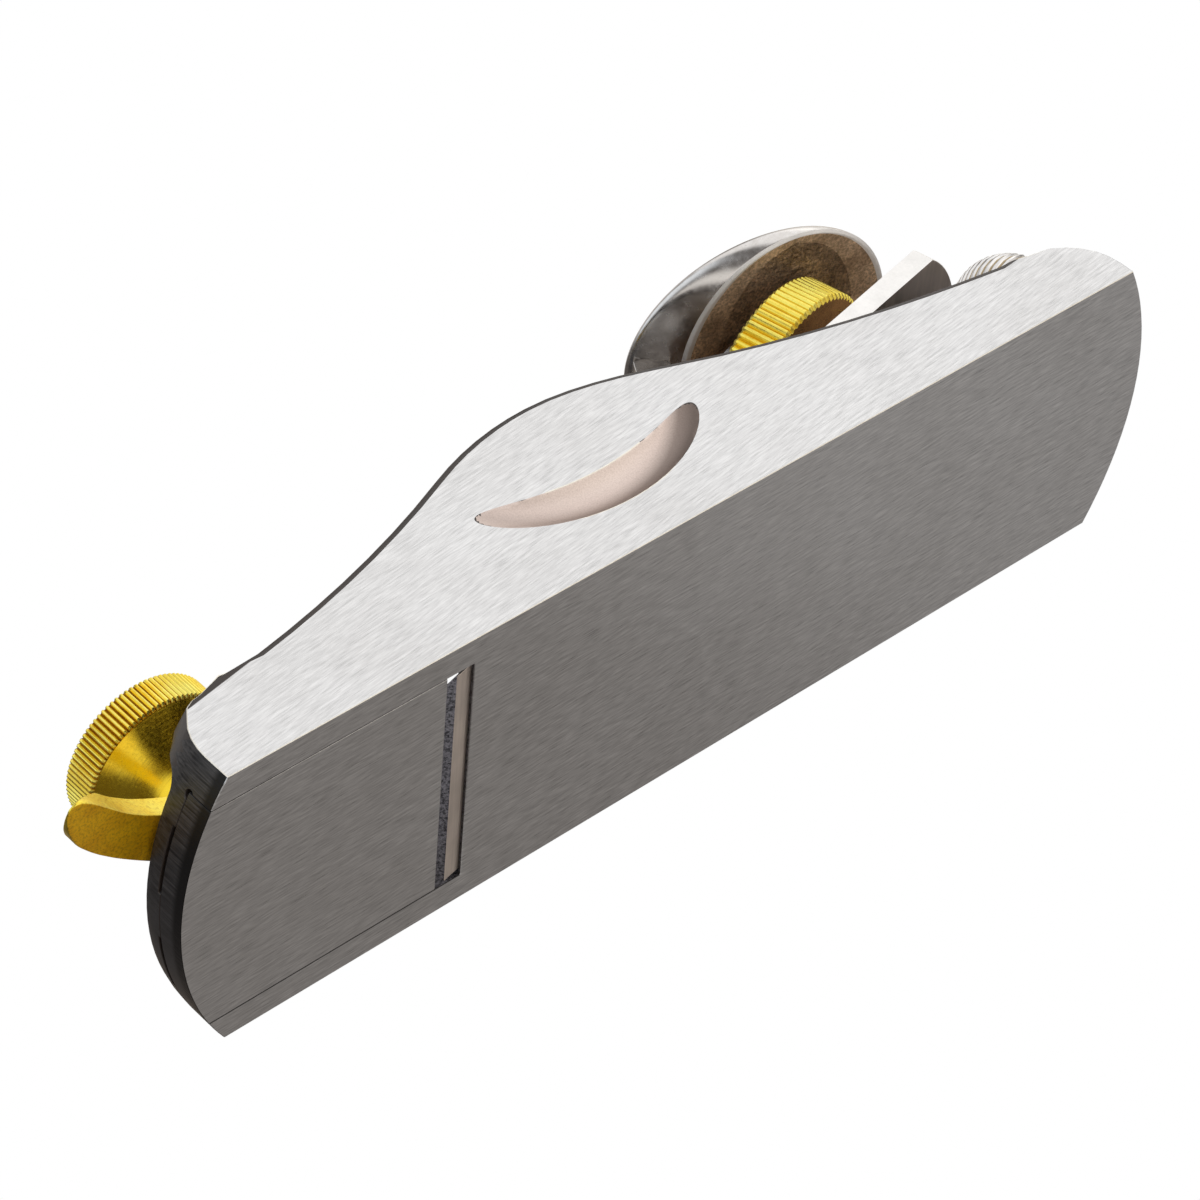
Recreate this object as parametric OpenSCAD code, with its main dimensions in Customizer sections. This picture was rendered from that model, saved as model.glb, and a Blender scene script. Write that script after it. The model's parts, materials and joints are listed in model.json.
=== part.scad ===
// Low angle block plane with an adjustable mouth, in millimetres.
// Toe at -X, heel at +X, Z up, the ground sole on Z = 0.
// The origin is the middle of the sole, half way between the toe and heel corners.

/* [Body] */
// Width of the sole over both cheeks
sole_w = 44.3; // [42:0.1:52]
// Straight length of the cheeks at the sole, corner to corner
side_l = 149.8; // [144:0.2:170]
// Radius of the rounded toe seen from below
toe_arc_r = 40.6; // [36:0.2:60]
// Radius of the rounded heel seen from below
heel_arc_r = 45.9; // [38:0.2:70]
// Distance between the inner faces of the cheeks
inner_w = 36; // [35.6:0.1:38]
// Thickness of the cast floor behind the mouth
floor_t = 4; // [3:0.1:5]
// Fillet along the foot of the cheeks
floor_fillet_r = 2; // [1:0.1:3]
// Height of the low end wall at the heel
heel_wall_h = 7.5; // [6:0.1:9]
// Thickness of that end wall
heel_wall_t = 4; // [3:0.1:6]

/* [Cheek outline] */
// Place of the highest point of the cheeks along the sole
crown_x = -6.5; // [-16:0.5:4]
// Height of the cheeks at that point
crown_h = 28.1; // [24:0.1:34]
// Drop from the crown to the steepest point on the toe side
toe_flank_drop = 3.7; // [2:0.1:5]
// Distance from the crown to that point
toe_flank_dx = 17.5; // [12:0.5:22]
// Drop from the crown to the steepest point on the heel side
heel_flank_drop = 4.7; // [3:0.1:6]
// Distance from the crown to that point
heel_flank_dx = 20.5; // [15:0.5:26]
// Height of the cheeks near the toe
toe_h = 12.6; // [11.8:0.1:14]
// Height of the cheeks near the heel
heel_h = 11.1; // [10:0.1:13]
// Rounding of the cheek's toe corner along the sole
toe_round_l = 4.6; // [2:0.1:8]
// Rounding of the cheek's toe corner in height
toe_round_h = 7.8; // [4:0.1:9]
// Rounding of the cheek's heel corner along the sole
heel_round_l = 7.9; // [3:0.1:12]
// Rounding of the cheek's heel corner in height
heel_round_h = 8.4; // [4:0.1:9]

/* [Finger recess] */
// Radius of the smile-shaped recess, along its middle line
recess_arc_r = 30.5; // [26:0.5:40]
// Radius of the ball that leaves the recess
recess_ball_r = 4.3; // [2.5:0.1:5]
// Depth of the recess at its lowest point
recess_depth = 1.3; // [0.6:0.1:1.8]
// Height of the middle line above the sole at its lowest point
recess_z = 11; // [9:0.1:13]
// Place of the lowest point along the sole
recess_x = -7.2; // [-12:0.2:0]
// Tilt that lets the recess run out at its two tips
recess_tilt = 14.5; // [8:0.5:20]

/* [Deck over the toe] */
// Top of the deck at the toe
deck_h = 7; // [6.6:0.1:8]
// Height of the round pad under the lever above the deck
pad_h = 1; // [0.6:0.1:1.6]
// Radius of that pad
pad_r = 13; // [11:0.5:15]
// Place of the front knob's axis
stud_x = -66.7; // [-68:0.1:-64]
// Rear edge of the deck
deck_rear_x = -47; // [-49:0.1:-46]

/* [Bed and mouth] */
// Angle of the bed
bed_angle = 12; // [10:0.5:14]
// Place of the cutting edge on the sole
edge_x = -41; // [-42:0.1:-40]
// Rear edge of the mouth
mouth_rear_x = -38.3; // [-39:0.1:-37]
// Front edge of the mouth, which is the rear edge of the toe plate
mouth_front_x = -42.4; // [-44:0.1:-42.2]
// Rear end of the machined bed behind the mouth
bed_end_x = -14; // [-20:0.5:-12]

/* [Toe plate] */
// Thickness of the sliding toe plate
plate_t = 3.95; // [3.5:0.05:4.2]
// Radius of the boss under the front stud
boss_r = 5.5; // [5:0.1:6]
// Height of that boss above the plate
boss_h = 2.2; // [1.6:0.1:2.4]
// How far the plate opens the mouth from where it stands
plate_open = 2; // [1:0.1:2.4]
// Turn of the lever that opens it so far
lever_sweep = 80; // [40:1:84]
// Turn of the lever the other way, up to the near cheek
lever_back = 8; // [0:1:9]

/* [Front knob] */
// Radius over the knurled rim
knob_r = 10.66; // [9.5:0.02:12]
// Height of the knurled rim
knob_rim_h = 4.8; // [3:0.1:7]
// Height of the knob from its foot to the top of its rim
knob_h = 15.3; // [13:0.1:20]
// Radius of the knob's foot
knob_foot_r = 6.6; // [6:0.1:8]
// Radius of the waist above the foot
knob_waist_r = 5.5; // [5.2:0.1:6.5]
// Number of ridges round the rim
knob_ridges = 90; // [60:1:110]
// Depth of the knurling
ridge_depth = 0.35; // [0.2:0.01:0.5]
// Radius of the threaded stud
stud_r = 4; // [3:0.1:4.2]
// Thickness of the washer under the knob
washer_t = 0.8; // [0.5:0.1:1.2]

/* [Eccentric lever] */
// Thickness of the lever
lever_t = 3.5; // [2.4:0.1:4]
// Radius of the lever's hub
hub_r = 9; // [8.6:0.1:11]
// Radius of the cam under the hub
cam_r = 7; // [6.6:0.1:7.4]
// Depth of the cam below the lever
cam_h = 1.4; // [0.8:0.1:1.6]
// Length of the lever from the stud to its point
lever_l = 31.5; // [28:0.1:34]
// Half width of the lever's handle
lever_half_w = 2.95; // [2.4:0.05:3.4]
// Radius of the point at its end
lever_point_r = 1.6; // [1:0.1:2]
// Angle of the lever from the toe towards the near cheek
lever_angle = 38.3; // [25:0.1:40]
// Bow of the handle away from the near cheek
lever_bow = 1.5; // [0.5:0.1:2.5]

/* [Blade] */
// Width of the blade
blade_w = 35; // [34:0.1:35.4]
// Thickness of the blade
blade_t = 3.15; // [2.5:0.05:3.8]
// Length of the blade along its middle
blade_l = 112; // [108:0.5:113]
// Radius of its rounded upper end
blade_end_r = 22; // [18.5:0.5:40]
// Angle of the bevel
bevel_angle = 25; // [20:1:35]
// Width of the long slot for the cap screw
blade_slot_w = 8.6; // [7:0.1:10]
// Distance from the cutting edge to the front of the long slot
blade_slot_u = 29; // [26:0.5:32]
// Length of the long slot
blade_slot_l = 38; // [30:0.5:40]
// Number of cross slots for the adjuster
cross_slots = 5; // [3:1:6]
// Spacing of the cross slots
cross_pitch = 4.6; // [4:0.1:6]
// Width of a cross slot
cross_w = 2.6; // [2:0.1:3]
// Length of a cross slot
cross_l = 13; // [8:0.5:16]

/* [Lever cap] */
// Width of the lever cap's plate
cap_w = 34; // [30:0.1:35]
// Thickness of the plate at the keyhole
cap_t = 4; // [3:0.1:5]
// Gap under the plate behind its front lip
cap_lift = 1.3; // [0.8:0.1:2]
// Distance from the cutting edge to the front lip
cap_lip_u = 11; // [9:0.5:14]
// Middle of the palm rest's rim along the sole
rim_x = 48.7; // [46:0.1:51]
// Height of the middle of the rim
rim_z = 35.7; // [34:0.1:38]
// Slope of the rim, down towards the heel
rim_tilt = 9.9; // [6:0.1:13]
// Half length of the rim, fore and aft
rim_r = 16.6; // [15.8:0.1:18]
// Half width of the rim
rim_half_w = 18; // [16:0.1:18.4]
// Thickness of the rim
rim_t = 1.7; // [1.4:0.1:2.6]
// How far its shoulder leans towards the toe
lean_x = 6.4; // [4:0.1:7]
// Height of its shoulder over the rim
shoulder_h = 2.8; // [2:0.1:4]
// Height of its crown over the shoulder
dome_h = 2.9; // [2:0.1:4]
// Half width of the neck under the palm rest
neck_half_w = 10; // [8:0.5:12]
// Distance from the cutting edge to the cap screw
screw_u = 38.8; // [37:0.1:41]
// Radius of the cap screw
screw_r = 3; // [2.5:0.1:3.4]
// Radius of the screw's head
screw_head_r = 5.4; // [4.8:0.1:6]
// Height of the screw's head
screw_head_h = 3.2; // [2:0.1:4]
// Travel of the cap from the narrow end of its keyhole to the wide end
keyhole_l = 8; // [6:0.5:9]

/* [Spin wheel] */
// Radius over the knurling of the spin wheel
wheel_r = 14.4; // [11:0.1:14.6]
// Thickness of the wheel
wheel_t = 6.2; // [4:0.1:6.4]
// Middle of the wheel's upper face along the sole
wheel_x = 41.7; // [41.2:0.1:42.4]
// Height of the middle of the wheel's upper face
wheel_z = 32.4; // [32:0.1:32.8]
// Number of ridges round the wheel
wheel_ridges = 84; // [60:1:100]
// Radius of the threaded spindle
spindle_r = 3; // [2.4:0.1:3.4]
// Radius of the thrust pad
thrust_pad_r = 5; // [4:0.1:6]
// Thickness of the thrust pad
thrust_pad_t = 2.2; // [1.6:0.1:3]
// Length of the spindle above the wheel
spindle_up = 5.6; // [5:0.1:6]

/* [Depth adjuster] */
// Depth of the adjusting screw's axis below the blade
screw_axis_w = 4.8; // [4.4:0.1:5.2]
// Radius of the adjusting screw
rod_r = 2.5; // [2:0.1:2.8]
// Radius over the ridges of the adjuster knob
adj_r = 9; // [8:0.1:10]
// Length of the adjuster knob
adj_l = 8; // [6:0.1:10]
// Radius of the knob's neck
adj_neck_r = 3.6; // [3.5:0.1:4]
// Distance from the blade's upper end to the middle of the adjuster knob
adj_behind = 8.2; // [7.8:0.1:10]
// Thickness of the thrust washer between the lug and the knob's neck
adj_washer_t = 0.8; // [0.5:0.1:1]
// Drop of the barrel from its middle to its ends
adj_crown = 1.3; // [0.6:0.1:2]
// Number of ridges round the adjuster knob
adj_ridges = 48; // [30:1:60]
// Distance from the front of the rear lug to the blade's upper end
lug_before = 6; // [5.5:0.1:8]
// Length of the rear lug
lug_l = 7.4; // [5:0.1:7.6]
// Width of the rear lug
lug_w = 14; // [10:0.5:20]
// Length of the adjuster carriage
carriage_l = 10; // [8:0.5:12]
// Distance from the front of the carriage to the rear lug
carriage_before = 23; // [21:0.5:25]
// Length of the screw in front of the carriage
screw_lead_l = 5; // [4:0.5:5.5]
// Width of the carriage
carriage_w = 12; // [9:0.5:16]
// Depth of the carriage below the screw's axis
carriage_drop = 4; // [3.4:0.1:5]
// Radius of the dog that drives the blade
dog_r = 1.2; // [0.8:0.1:1.4]
// Thickness of the retaining ring
ring_t = 0.9; // [0.6:0.1:1]

/* [Fits] */
// Side play of the toe plate and other flat slides
slide_clear = 0.08; // [0.04:0.01:0.15]
// Radial play of a thread or a running bore
run_clear = 0.06; // [0.03:0.01:0.1]
// Gap between flat faces that rest on each other
seat_gap = 0.05; // [0.02:0.01:0.1]
// Play of the cam in its cross slot
cam_play = 0.2; // [0.15:0.01:0.3]

/* [Hidden] */
$fn = 72;

iron = "dimgray";
steel = "silver";
brass = "gold";

half_w = sole_w / 2;
half_l = side_l / 2;
inner_y = inner_w / 2;
// Depth of each arc past the corner stations
toe_sag = toe_arc_r - sqrt(toe_arc_r * toe_arc_r - half_w * half_w);
heel_sag = heel_arc_r - sqrt(heel_arc_r * heel_arc_r - half_w * half_w);
toe_x = -half_l - toe_sag;
heel_x = half_l + heel_sag;
toe_c = toe_x + toe_arc_r;
heel_c = heel_x - heel_arc_r;
big = 200;

pocket_h = plate_t + seat_gap;
pad_top = deck_h + pad_h;
lever_z = pad_top + seat_gap;
washer_z = lever_z + lever_t + seat_gap;
knob_z = washer_z + washer_t + seat_gap;
plate_close = plate_open * lever_back / lever_sweep;
// The cam's lobe stands square to the sole's length half way through the lever's swing
lobe_angle = 90 + (lever_sweep - lever_back) / 2;
cam_e = plate_open / (cos(lobe_angle - lever_sweep) - cos(lobe_angle));

blade_top = blade_t;
cap_under = blade_t + cap_lift;
cap_top = cap_under + cap_t;
// Depth inside the palm rest's skin at which its neck and its boss end
neck_sink = 0.5;
// Floor of the blind seat in the thrust pad
pad_floor_w = blade_top + seat_gap + thrust_pad_t * 0.4;

// Stations of the depth adjuster, counted from the blade's upper end
adj_u = blade_l + adj_behind;
lug_u = blade_l - lug_before;
carriage_u = lug_u - carriage_before;
adj_front = adj_u - adj_l / 2;
lug_rear = lug_u + lug_l;
adj_neck_u = lug_rear + seat_gap + adj_washer_t + seat_gap;
ring_u = lug_u - ring_t - 2 * seat_gap;
dog_u = carriage_u + carriage_l / 2;
bush_r = rod_r + 1;
// Foot of the dog, above the screw's thread
dog_foot_w = -screw_axis_w + rod_r + 0.8;
set_screw_r = 1.25;
set_screw_l = 4.5;

// Height of the bed above the sole at a place along the sole
function bed_z(x) = (x - edge_x) * tan(bed_angle);
// Distance along the bed and height square to it, of a place x, z
function bed_u(x, z) = (x - edge_x) * cos(bed_angle) + z * sin(bed_angle);
function bed_w(x, z) = z * cos(bed_angle) - (x - edge_x) * sin(bed_angle);
// Front end of the bed's cut, inside the mouth
bed_front_u = (mouth_rear_x - edge_x) / 2;

// Blind hole of the cap screw, stopping short of the sole
screw_hole_d = (screw_u * sin(bed_angle) - screw_r * sin(bed_angle) - 1.8) / cos(bed_angle);
wheel_u = bed_u(wheel_x, wheel_z);
wheel_top_w = bed_w(wheel_x, wheel_z);
wheel_w = wheel_top_w - wheel_t;

// Points of a smooth rise from a to b, each point as [x, z, slope]
function rise(a, b, n) = [for (i = [0 : n])
    let (t = i / n, d = b[0] - a[0])
    [a[0] + t * d,
     a[1] * (2 * t * t * t - 3 * t * t + 1) + a[2] * d * (t * t * t - 2 * t * t + t)
     + b[1] * (3 * t * t - 2 * t * t * t) + b[2] * d * (t * t * t - t * t)]];

// Points of a quarter of an ellipse about c, from angle a0 to a1
function ellipse(c, rx, rz, a0, a1, n) = [for (i = [0 : n])
    let (a = a0 + (a1 - a0) * i / n) [c[0] + rx * cos(a), c[1] + rz * sin(a)]];

// Star outline with n ridges, of outer radius r and depth d
function star(n, r, d) = [for (i = [0 : 2 * n - 1])
    let (a = 180 * i / n, q = i % 2 == 0 ? r : r - d) [q * cos(a), q * sin(a)]];

// Puts a shape on the bed: x runs up the bed from the cutting edge, z stands square to it
module on_bed() {
    translate([edge_x, 0, 0]) rotate([0, -bed_angle, 0]) children();
}

// Extrudes an outline of x, z across the sole
module across(w) {
    translate([0, w / 2, 0]) rotate([90, 0, 0]) linear_extrude(w) children();
}

// A slot with round ends along x
module long_slot(x0, x1, w, h) {
    translate([x0, 0, 0]) cylinder(d = w, h = h);
    translate([x1, 0, 0]) cylinder(d = w, h = h);
    translate([x0, -w / 2, 0]) cube([x1 - x0, w, h]);
}

// Side outline of the cheeks
toe_start = [-half_l + 5, toe_h, 0.11];
toe_flank = [crown_x - toe_flank_dx, crown_h - toe_flank_drop, 0.42];
crown = [crown_x, crown_h, 0];
heel_flank = [crown_x + heel_flank_dx, crown_h - heel_flank_drop, -0.375];
heel_start = [half_l - 7, heel_h, -0.12];

module cheek_outline() {
    polygon(concat(
        [[toe_x - 1, 0], [toe_x - 1, toe_h - 0.11 * (half_l + toe_start[0] + toe_sag + 1)]],
        rise(toe_start, toe_flank, 9),
        rise(toe_flank, crown, 6),
        rise(crown, heel_flank, 6),
        rise(heel_flank, heel_start, 9),
        [[heel_x + 1, heel_h - 0.12 * (heel_x + 1 - heel_start[0])], [heel_x + 1, 0]]));
}

// Solid turned about the centre of an end arc, with the rounded top corner of the cheeks
module end_round(r, round_l, round_h, top) {
    rotate_extrude($fn = 144)
        polygon(concat([[0, -1], [r, -1]],
            ellipse([r - round_l, top - round_h], round_l, round_h, 0, 90, 7),
            [[r - round_l - 12, top + 5], [r - round_l - 12, big], [0, big]]));
}

module body_blank() {
    toe_cut = toe_c - 14;
    heel_cut = heel_c + 18;
    intersection() {
        across(sole_w) cheek_outline();
        union() {
            translate([toe_cut, -half_w - 1, -1]) cube([heel_cut - toe_cut, sole_w + 2, big]);
            intersection() {
                translate([toe_c, 0, 0])
                    end_round(toe_arc_r, toe_round_l, toe_round_h, toe_h - 0.8);
                translate([toe_x - 1, -half_w - 1, -2])
                    cube([toe_cut - toe_x + 2, sole_w + 2, 2 * big]);
            }
            intersection() {
                translate([heel_c, 0, 0])
                    end_round(heel_arc_r, heel_round_l, heel_round_h, heel_h - 0.3);
                translate([heel_cut - 1, -half_w - 1, -2])
                    cube([heel_x - heel_cut + 2, sole_w + 2, 2 * big]);
            }
        }
    }
}

// Hollow between the cheeks, with fillets at its foot
module channel(x0, x1, z) {
    translate([x0, 0, 0]) rotate([90, 0, 90]) linear_extrude(x1 - x0) union() {
        translate([-inner_y, z + floor_fillet_r]) square([inner_w, big]);
        translate([-inner_y + floor_fillet_r, z])
            square([inner_w - 2 * floor_fillet_r, big]);
        for (s = [-1, 1]) translate([s * (inner_y - floor_fillet_r), z + floor_fillet_r])
            circle(r = floor_fillet_r, $fn = 32);
    }
}

// Rear support of the blade and its adjuster, up to the bed
module adjuster_seat() {
    floor_w = screw_axis_w + carriage_drop + seat_gap;
    rail_u = carriage_u - screw_lead_l - 1;
    intersection() {
        on_bed() union() {
            translate([lug_u, -lug_w / 2, -60]) cube([lug_l, lug_w, 60 - seat_gap]);
            translate([rail_u, -lug_w / 2, -60])
                cube([lug_u + lug_l - rail_u, lug_w, 60 - floor_w]);
        }
        translate([-big / 2, -big / 2, floor_t / 2]) cube([big, big, big]);
    }
}

module bed_wedge() {
    across(inner_w + 2) polygon([
        [mouth_rear_x - 1, floor_t / 4], [mouth_rear_x - 1, bed_z(mouth_rear_x - 1) - seat_gap],
        [bed_end_x, bed_z(bed_end_x) - seat_gap], [bed_end_x + 2, floor_t - 1],
        [bed_end_x + 2, 0], [mouth_rear_x + 4, 0]]);
}

module screw_boss() {
    intersection() {
        on_bed() translate([screw_u, 0, -30]) cylinder(r = screw_r + 3.6, h = 30 - seat_gap);
        translate([-big / 2, -big / 2, floor_t / 2]) cube([big, big, big]);
    }
}

module finger_recess() {
    translate([recess_x, -half_w, recess_z]) rotate([recess_tilt, 0, 0])
        translate([0, recess_depth - recess_ball_r, 0]) translate([0, 0, recess_arc_r])
            rotate([90, 0, 0]) rotate_extrude($fn = 96)
                translate([recess_arc_r, 0]) circle(r = recess_ball_r, $fn = 40);
}

module body() color(iron) difference() {
    union() {
        difference() {
            body_blank();
            channel(toe_x - 2, deck_rear_x, deck_h);
            channel(deck_rear_x - 0.01, heel_x - heel_wall_t, floor_t);
            channel(heel_x - heel_wall_t - 1, heel_x + 2, heel_wall_h);
        }
        bed_wedge();
        screw_boss();
        adjuster_seat();
        translate([stud_x, 0, deck_h - 1]) cylinder(r = pad_r, h = pad_h + 1, $fn = 96);
    }
    // Milled pocket of the toe plate, with relief drilled along its two upper corners
    translate([toe_x - 2, -inner_y, -1]) cube([mouth_rear_x - toe_x + 2, inner_w, pocket_h + 1]);
    for (s = [-1, 1]) translate([toe_x - 2, s * (inner_y - 0.3), pocket_h - 0.1])
        rotate([0, 90, 0]) cylinder(r = 0.6, h = deck_rear_x - toe_x + 1, $fn = 24);
    // Two shallow channels cast in the underside of the deck
    for (s = [-1, 1]) translate([toe_x - 2, s * 8.6 - 4.9, pocket_h - 0.5])
        cube([deck_rear_x - toe_x + 4, 9.8, 1]);
    // Throat in front of the bed
    translate([deck_rear_x, -inner_y, pocket_h - 1])
        cube([mouth_rear_x - deck_rear_x, inner_w, big]);
    // Slot for the plate's boss, and the cross slot for the lever's cam
    translate([stud_x, 0, 0]) long_slot(-plate_open - cam_play, plate_close + cam_play,
        2 * (boss_r + cam_play), deck_h + pad_h + 1);
    translate([stud_x + cam_e * cos(lobe_angle) - cam_r - cam_play, -cam_r - cam_e - 1,
               pad_top - cam_h - 2 * seat_gap])
        cube([2 * (cam_r + cam_play), 2 * (cam_r + cam_e + 1), cam_h + 2]);
    // The bed itself, cut through the floor just behind the mouth
    on_bed() translate([bed_front_u, -inner_y, -seat_gap]) cube([screw_u, inner_w, big]);
    // Threaded hole of the cap screw
    on_bed() translate([screw_u, 0, -screw_hole_d]) cylinder(r = screw_r + run_clear, h = 30);
    // Seat of the bush in the rear lug
    on_bed() translate([lug_u - 10, 0, -screw_axis_w]) rotate([0, 90, 0])
        cylinder(r = bush_r + run_clear / 2, h = lug_l + 20);
    finger_recess();
    mirror([0, 1, 0]) finger_recess();
}

module toe_plate() color(iron) difference() {
    union() {
        intersection() {
            translate([toe_c, 0, 0]) cylinder(r = toe_arc_r, h = plate_t, $fn = 144);
            translate([toe_x - 1, -inner_y + slide_clear, 0])
                cube([mouth_front_x - toe_x + 1, inner_w - 2 * slide_clear, plate_t]);
        }
        translate([stud_x, 0, plate_t - 1]) cylinder(r = boss_r, h = boss_h + 1);
    }
    translate([stud_x, 0, plate_t / 2]) cylinder(r = stud_r + run_clear / 2, h = 10);
}

module front_stud() color(steel) translate([stud_x, 0, 0])
    difference() {
        union() {
            translate([0, 0, plate_t / 2 + seat_gap])
                cylinder(r = stud_r, h = knob_z + knob_h - 4 - plate_t / 2 - 0.6);
            translate([0, 0, knob_z + knob_h - 4.6])
                cylinder(r1 = stud_r, r2 = stud_r - 0.6, h = 0.6);
        }
        // Screwdriver slot in the top of the stud
        translate([-stud_r - 1, -0.6, knob_z + knob_h - 5.4]) cube([2 * stud_r + 2, 1.2, 4]);
    }

// One disc of the lever's handle, at a distance along it and to its side
module lever_disc(along, aside, r) {
    translate([-along, aside, 0]) cylinder(r = r, h = lever_t, $fn = 32);
}

module eccentric_lever() color(brass) translate([stud_x, 0, lever_z]) rotate([0, 0, lever_angle])
    difference() {
        neck_l = lever_l / 2;
        union() {
            cylinder(r = hub_r, h = lever_t);
            hull() {
                lever_disc(hub_r / 3, lever_bow / 2, lever_half_w + 1.6);
                lever_disc(neck_l, lever_bow, lever_half_w);
            }
            // Handle of even width, drawn out to a point on its near side
            hull() {
                lever_disc(neck_l, lever_bow, lever_half_w);
                lever_disc(lever_l * 0.77, lever_bow * 0.7, lever_half_w);
                lever_disc(lever_l * 0.88, lever_bow * 0.3, lever_half_w * 0.77);
                lever_disc(lever_l - lever_point_r, -lever_bow * 0.4, lever_point_r);
            }
            rotate([0, 0, lobe_angle - lever_angle]) translate([cam_e, 0, -cam_h])
                cylinder(r = cam_r, h = cam_h + 1);
        }
        translate([0, 0, -cam_h - 1]) cylinder(r = stud_r + run_clear, h = lever_t + cam_h + 2);
    }

module knob_washer() color(steel) translate([stud_x, 0, washer_z]) difference() {
    cylinder(r = knob_foot_r + 1, h = washer_t);
    translate([0, 0, -1]) cylinder(r = stud_r + run_clear, h = washer_t + 2);
}

module front_knob() color(brass) translate([stud_x, 0, knob_z]) {
    rim_z0 = knob_h - knob_rim_h;
    rim_in = knob_r - ridge_depth;
    dish_r = rim_in - 2;
    difference() {
        union() {
            // Turned body: foot, waist and the hollow cone under the rim
            rotate_extrude($fn = 120) polygon(concat(
                [[0, 0], [knob_foot_r, 0], [knob_foot_r, 1.2]],
                [for (i = [0 : 5]) let (t = i / 5)
                    [knob_waist_r + (knob_foot_r - knob_waist_r) * pow(1 - t, 2), 1.2 + 2.6 * t]],
                [for (i = [1 : 7]) let (t = i / 7)
                    [knob_waist_r + (rim_in - 0.3 - knob_waist_r) * pow(t, 1.35),
                     3.8 + (rim_z0 - 3.8) * t]],
                [[0, rim_z0]]));
            translate([0, 0, rim_z0]) linear_extrude(knob_rim_h)
                polygon(star(knob_ridges, knob_r, ridge_depth));
        }
        translate([0, 0, -1]) cylinder(r = stud_r + run_clear, h = knob_h - 2.6);
        // Dished top inside the knurled ring
        rotate_extrude($fn = 120) polygon(concat([[dish_r, knob_h + 1], [dish_r, knob_h - 0.5]],
            [for (i = [1 : 6]) let (t = i / 6)
                [dish_r * (1 - t), knob_h - 0.5 - 0.9 * sin(90 * t)]],
            [[0, knob_h + 1]]));
    }
}

module blade() color(steel) on_bed() difference() {
    end_c = blade_l - blade_end_r;
    intersection() {
        across(blade_w) polygon([[0, 0], [blade_t / tan(bevel_angle), blade_t],
            [blade_l + 1, blade_t], [blade_l + 1, 0]]);
        union() {
            translate([-1, -blade_w, -1]) cube([end_c + 2, 2 * blade_w, blade_t + 2]);
            translate([end_c, 0, -1]) cylinder(r = blade_end_r, h = blade_t + 2, $fn = 144);
        }
    }
    translate([blade_slot_u + blade_slot_w / 2, 0, -1])
        long_slot(0, blade_slot_l - blade_slot_w, blade_slot_w, blade_t + 2);
    // Cross slots, spaced so that the dog stands in the third one
    for (i = [0 : cross_slots - 1])
        translate([dog_u + (i - 2) * cross_pitch - cross_w / 2, -cross_l / 2, -1])
            cube([cross_w, cross_l, blade_t + 2]);
}

// Tilted frame of the palm rest: origin at the middle of its rim
module at_rim() {
    translate([rim_x, 0, rim_z]) rotate([0, rim_tilt, 0]) children();
}

// One thin slice of the palm rest: its lean, height and half length, shrunk by t
module rest_slice(lean, up, r, t) {
    translate([-lean, 0, up]) scale([1, (rim_half_w - t) / (rim_r - t), 1])
        cylinder(r = r - t, h = 0.1, $fn = 60);
}

// Palm rest, shrunk by t all round
module palm_rest(t) {
    at_rim() hull() {
        rest_slice(0, -t, rim_r, t);
        rest_slice(0, 0.4, rim_r, t);
        rest_slice(lean_x, shoulder_h - 0.9 - t, rim_r + 0.6, t);
        rest_slice(lean_x, shoulder_h - t, rim_r + 0.6, t);
        // The crown: slices of an egg shape that leans on towards the toe
        for (h = [0.3, 0.55, 0.8, 1])
            rest_slice(lean_x * (1 + h), shoulder_h + dome_h * h - 0.1 - t,
                t + 1.5 + (rim_r - 3 - t) * sqrt(1 - h * h), t);
    }
}

// Side outline of the cap's plate and neck, on the bed
module cap_outline() {
    neck_front = wheel_u - wheel_r + 0.3;
    polygon(concat(
        [[cap_lip_u + 0.6, blade_top + seat_gap], [cap_lip_u + 5, blade_top + seat_gap],
         [cap_lip_u + 7, cap_under]],
        rise([screw_u + screw_head_r + 13, cap_under, 0], [neck_front + 3, wheel_top_w + 7, 1.6], 8),
        [[neck_front + 7.5, wheel_top_w + 11.2], [neck_front + 7.5, wheel_top_w + 16],
         [neck_front + 3, wheel_top_w + 16]],
        rise([neck_front, wheel_top_w + 11.2, 1.3], [screw_u + screw_head_r + 8, cap_top, 0], 8),
        [[cap_lip_u + 8, cap_top], [cap_lip_u + 2, cap_top - 1.4],
         [cap_lip_u, blade_top + 1.8], [cap_lip_u, blade_top + 0.7]]));
}

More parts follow.
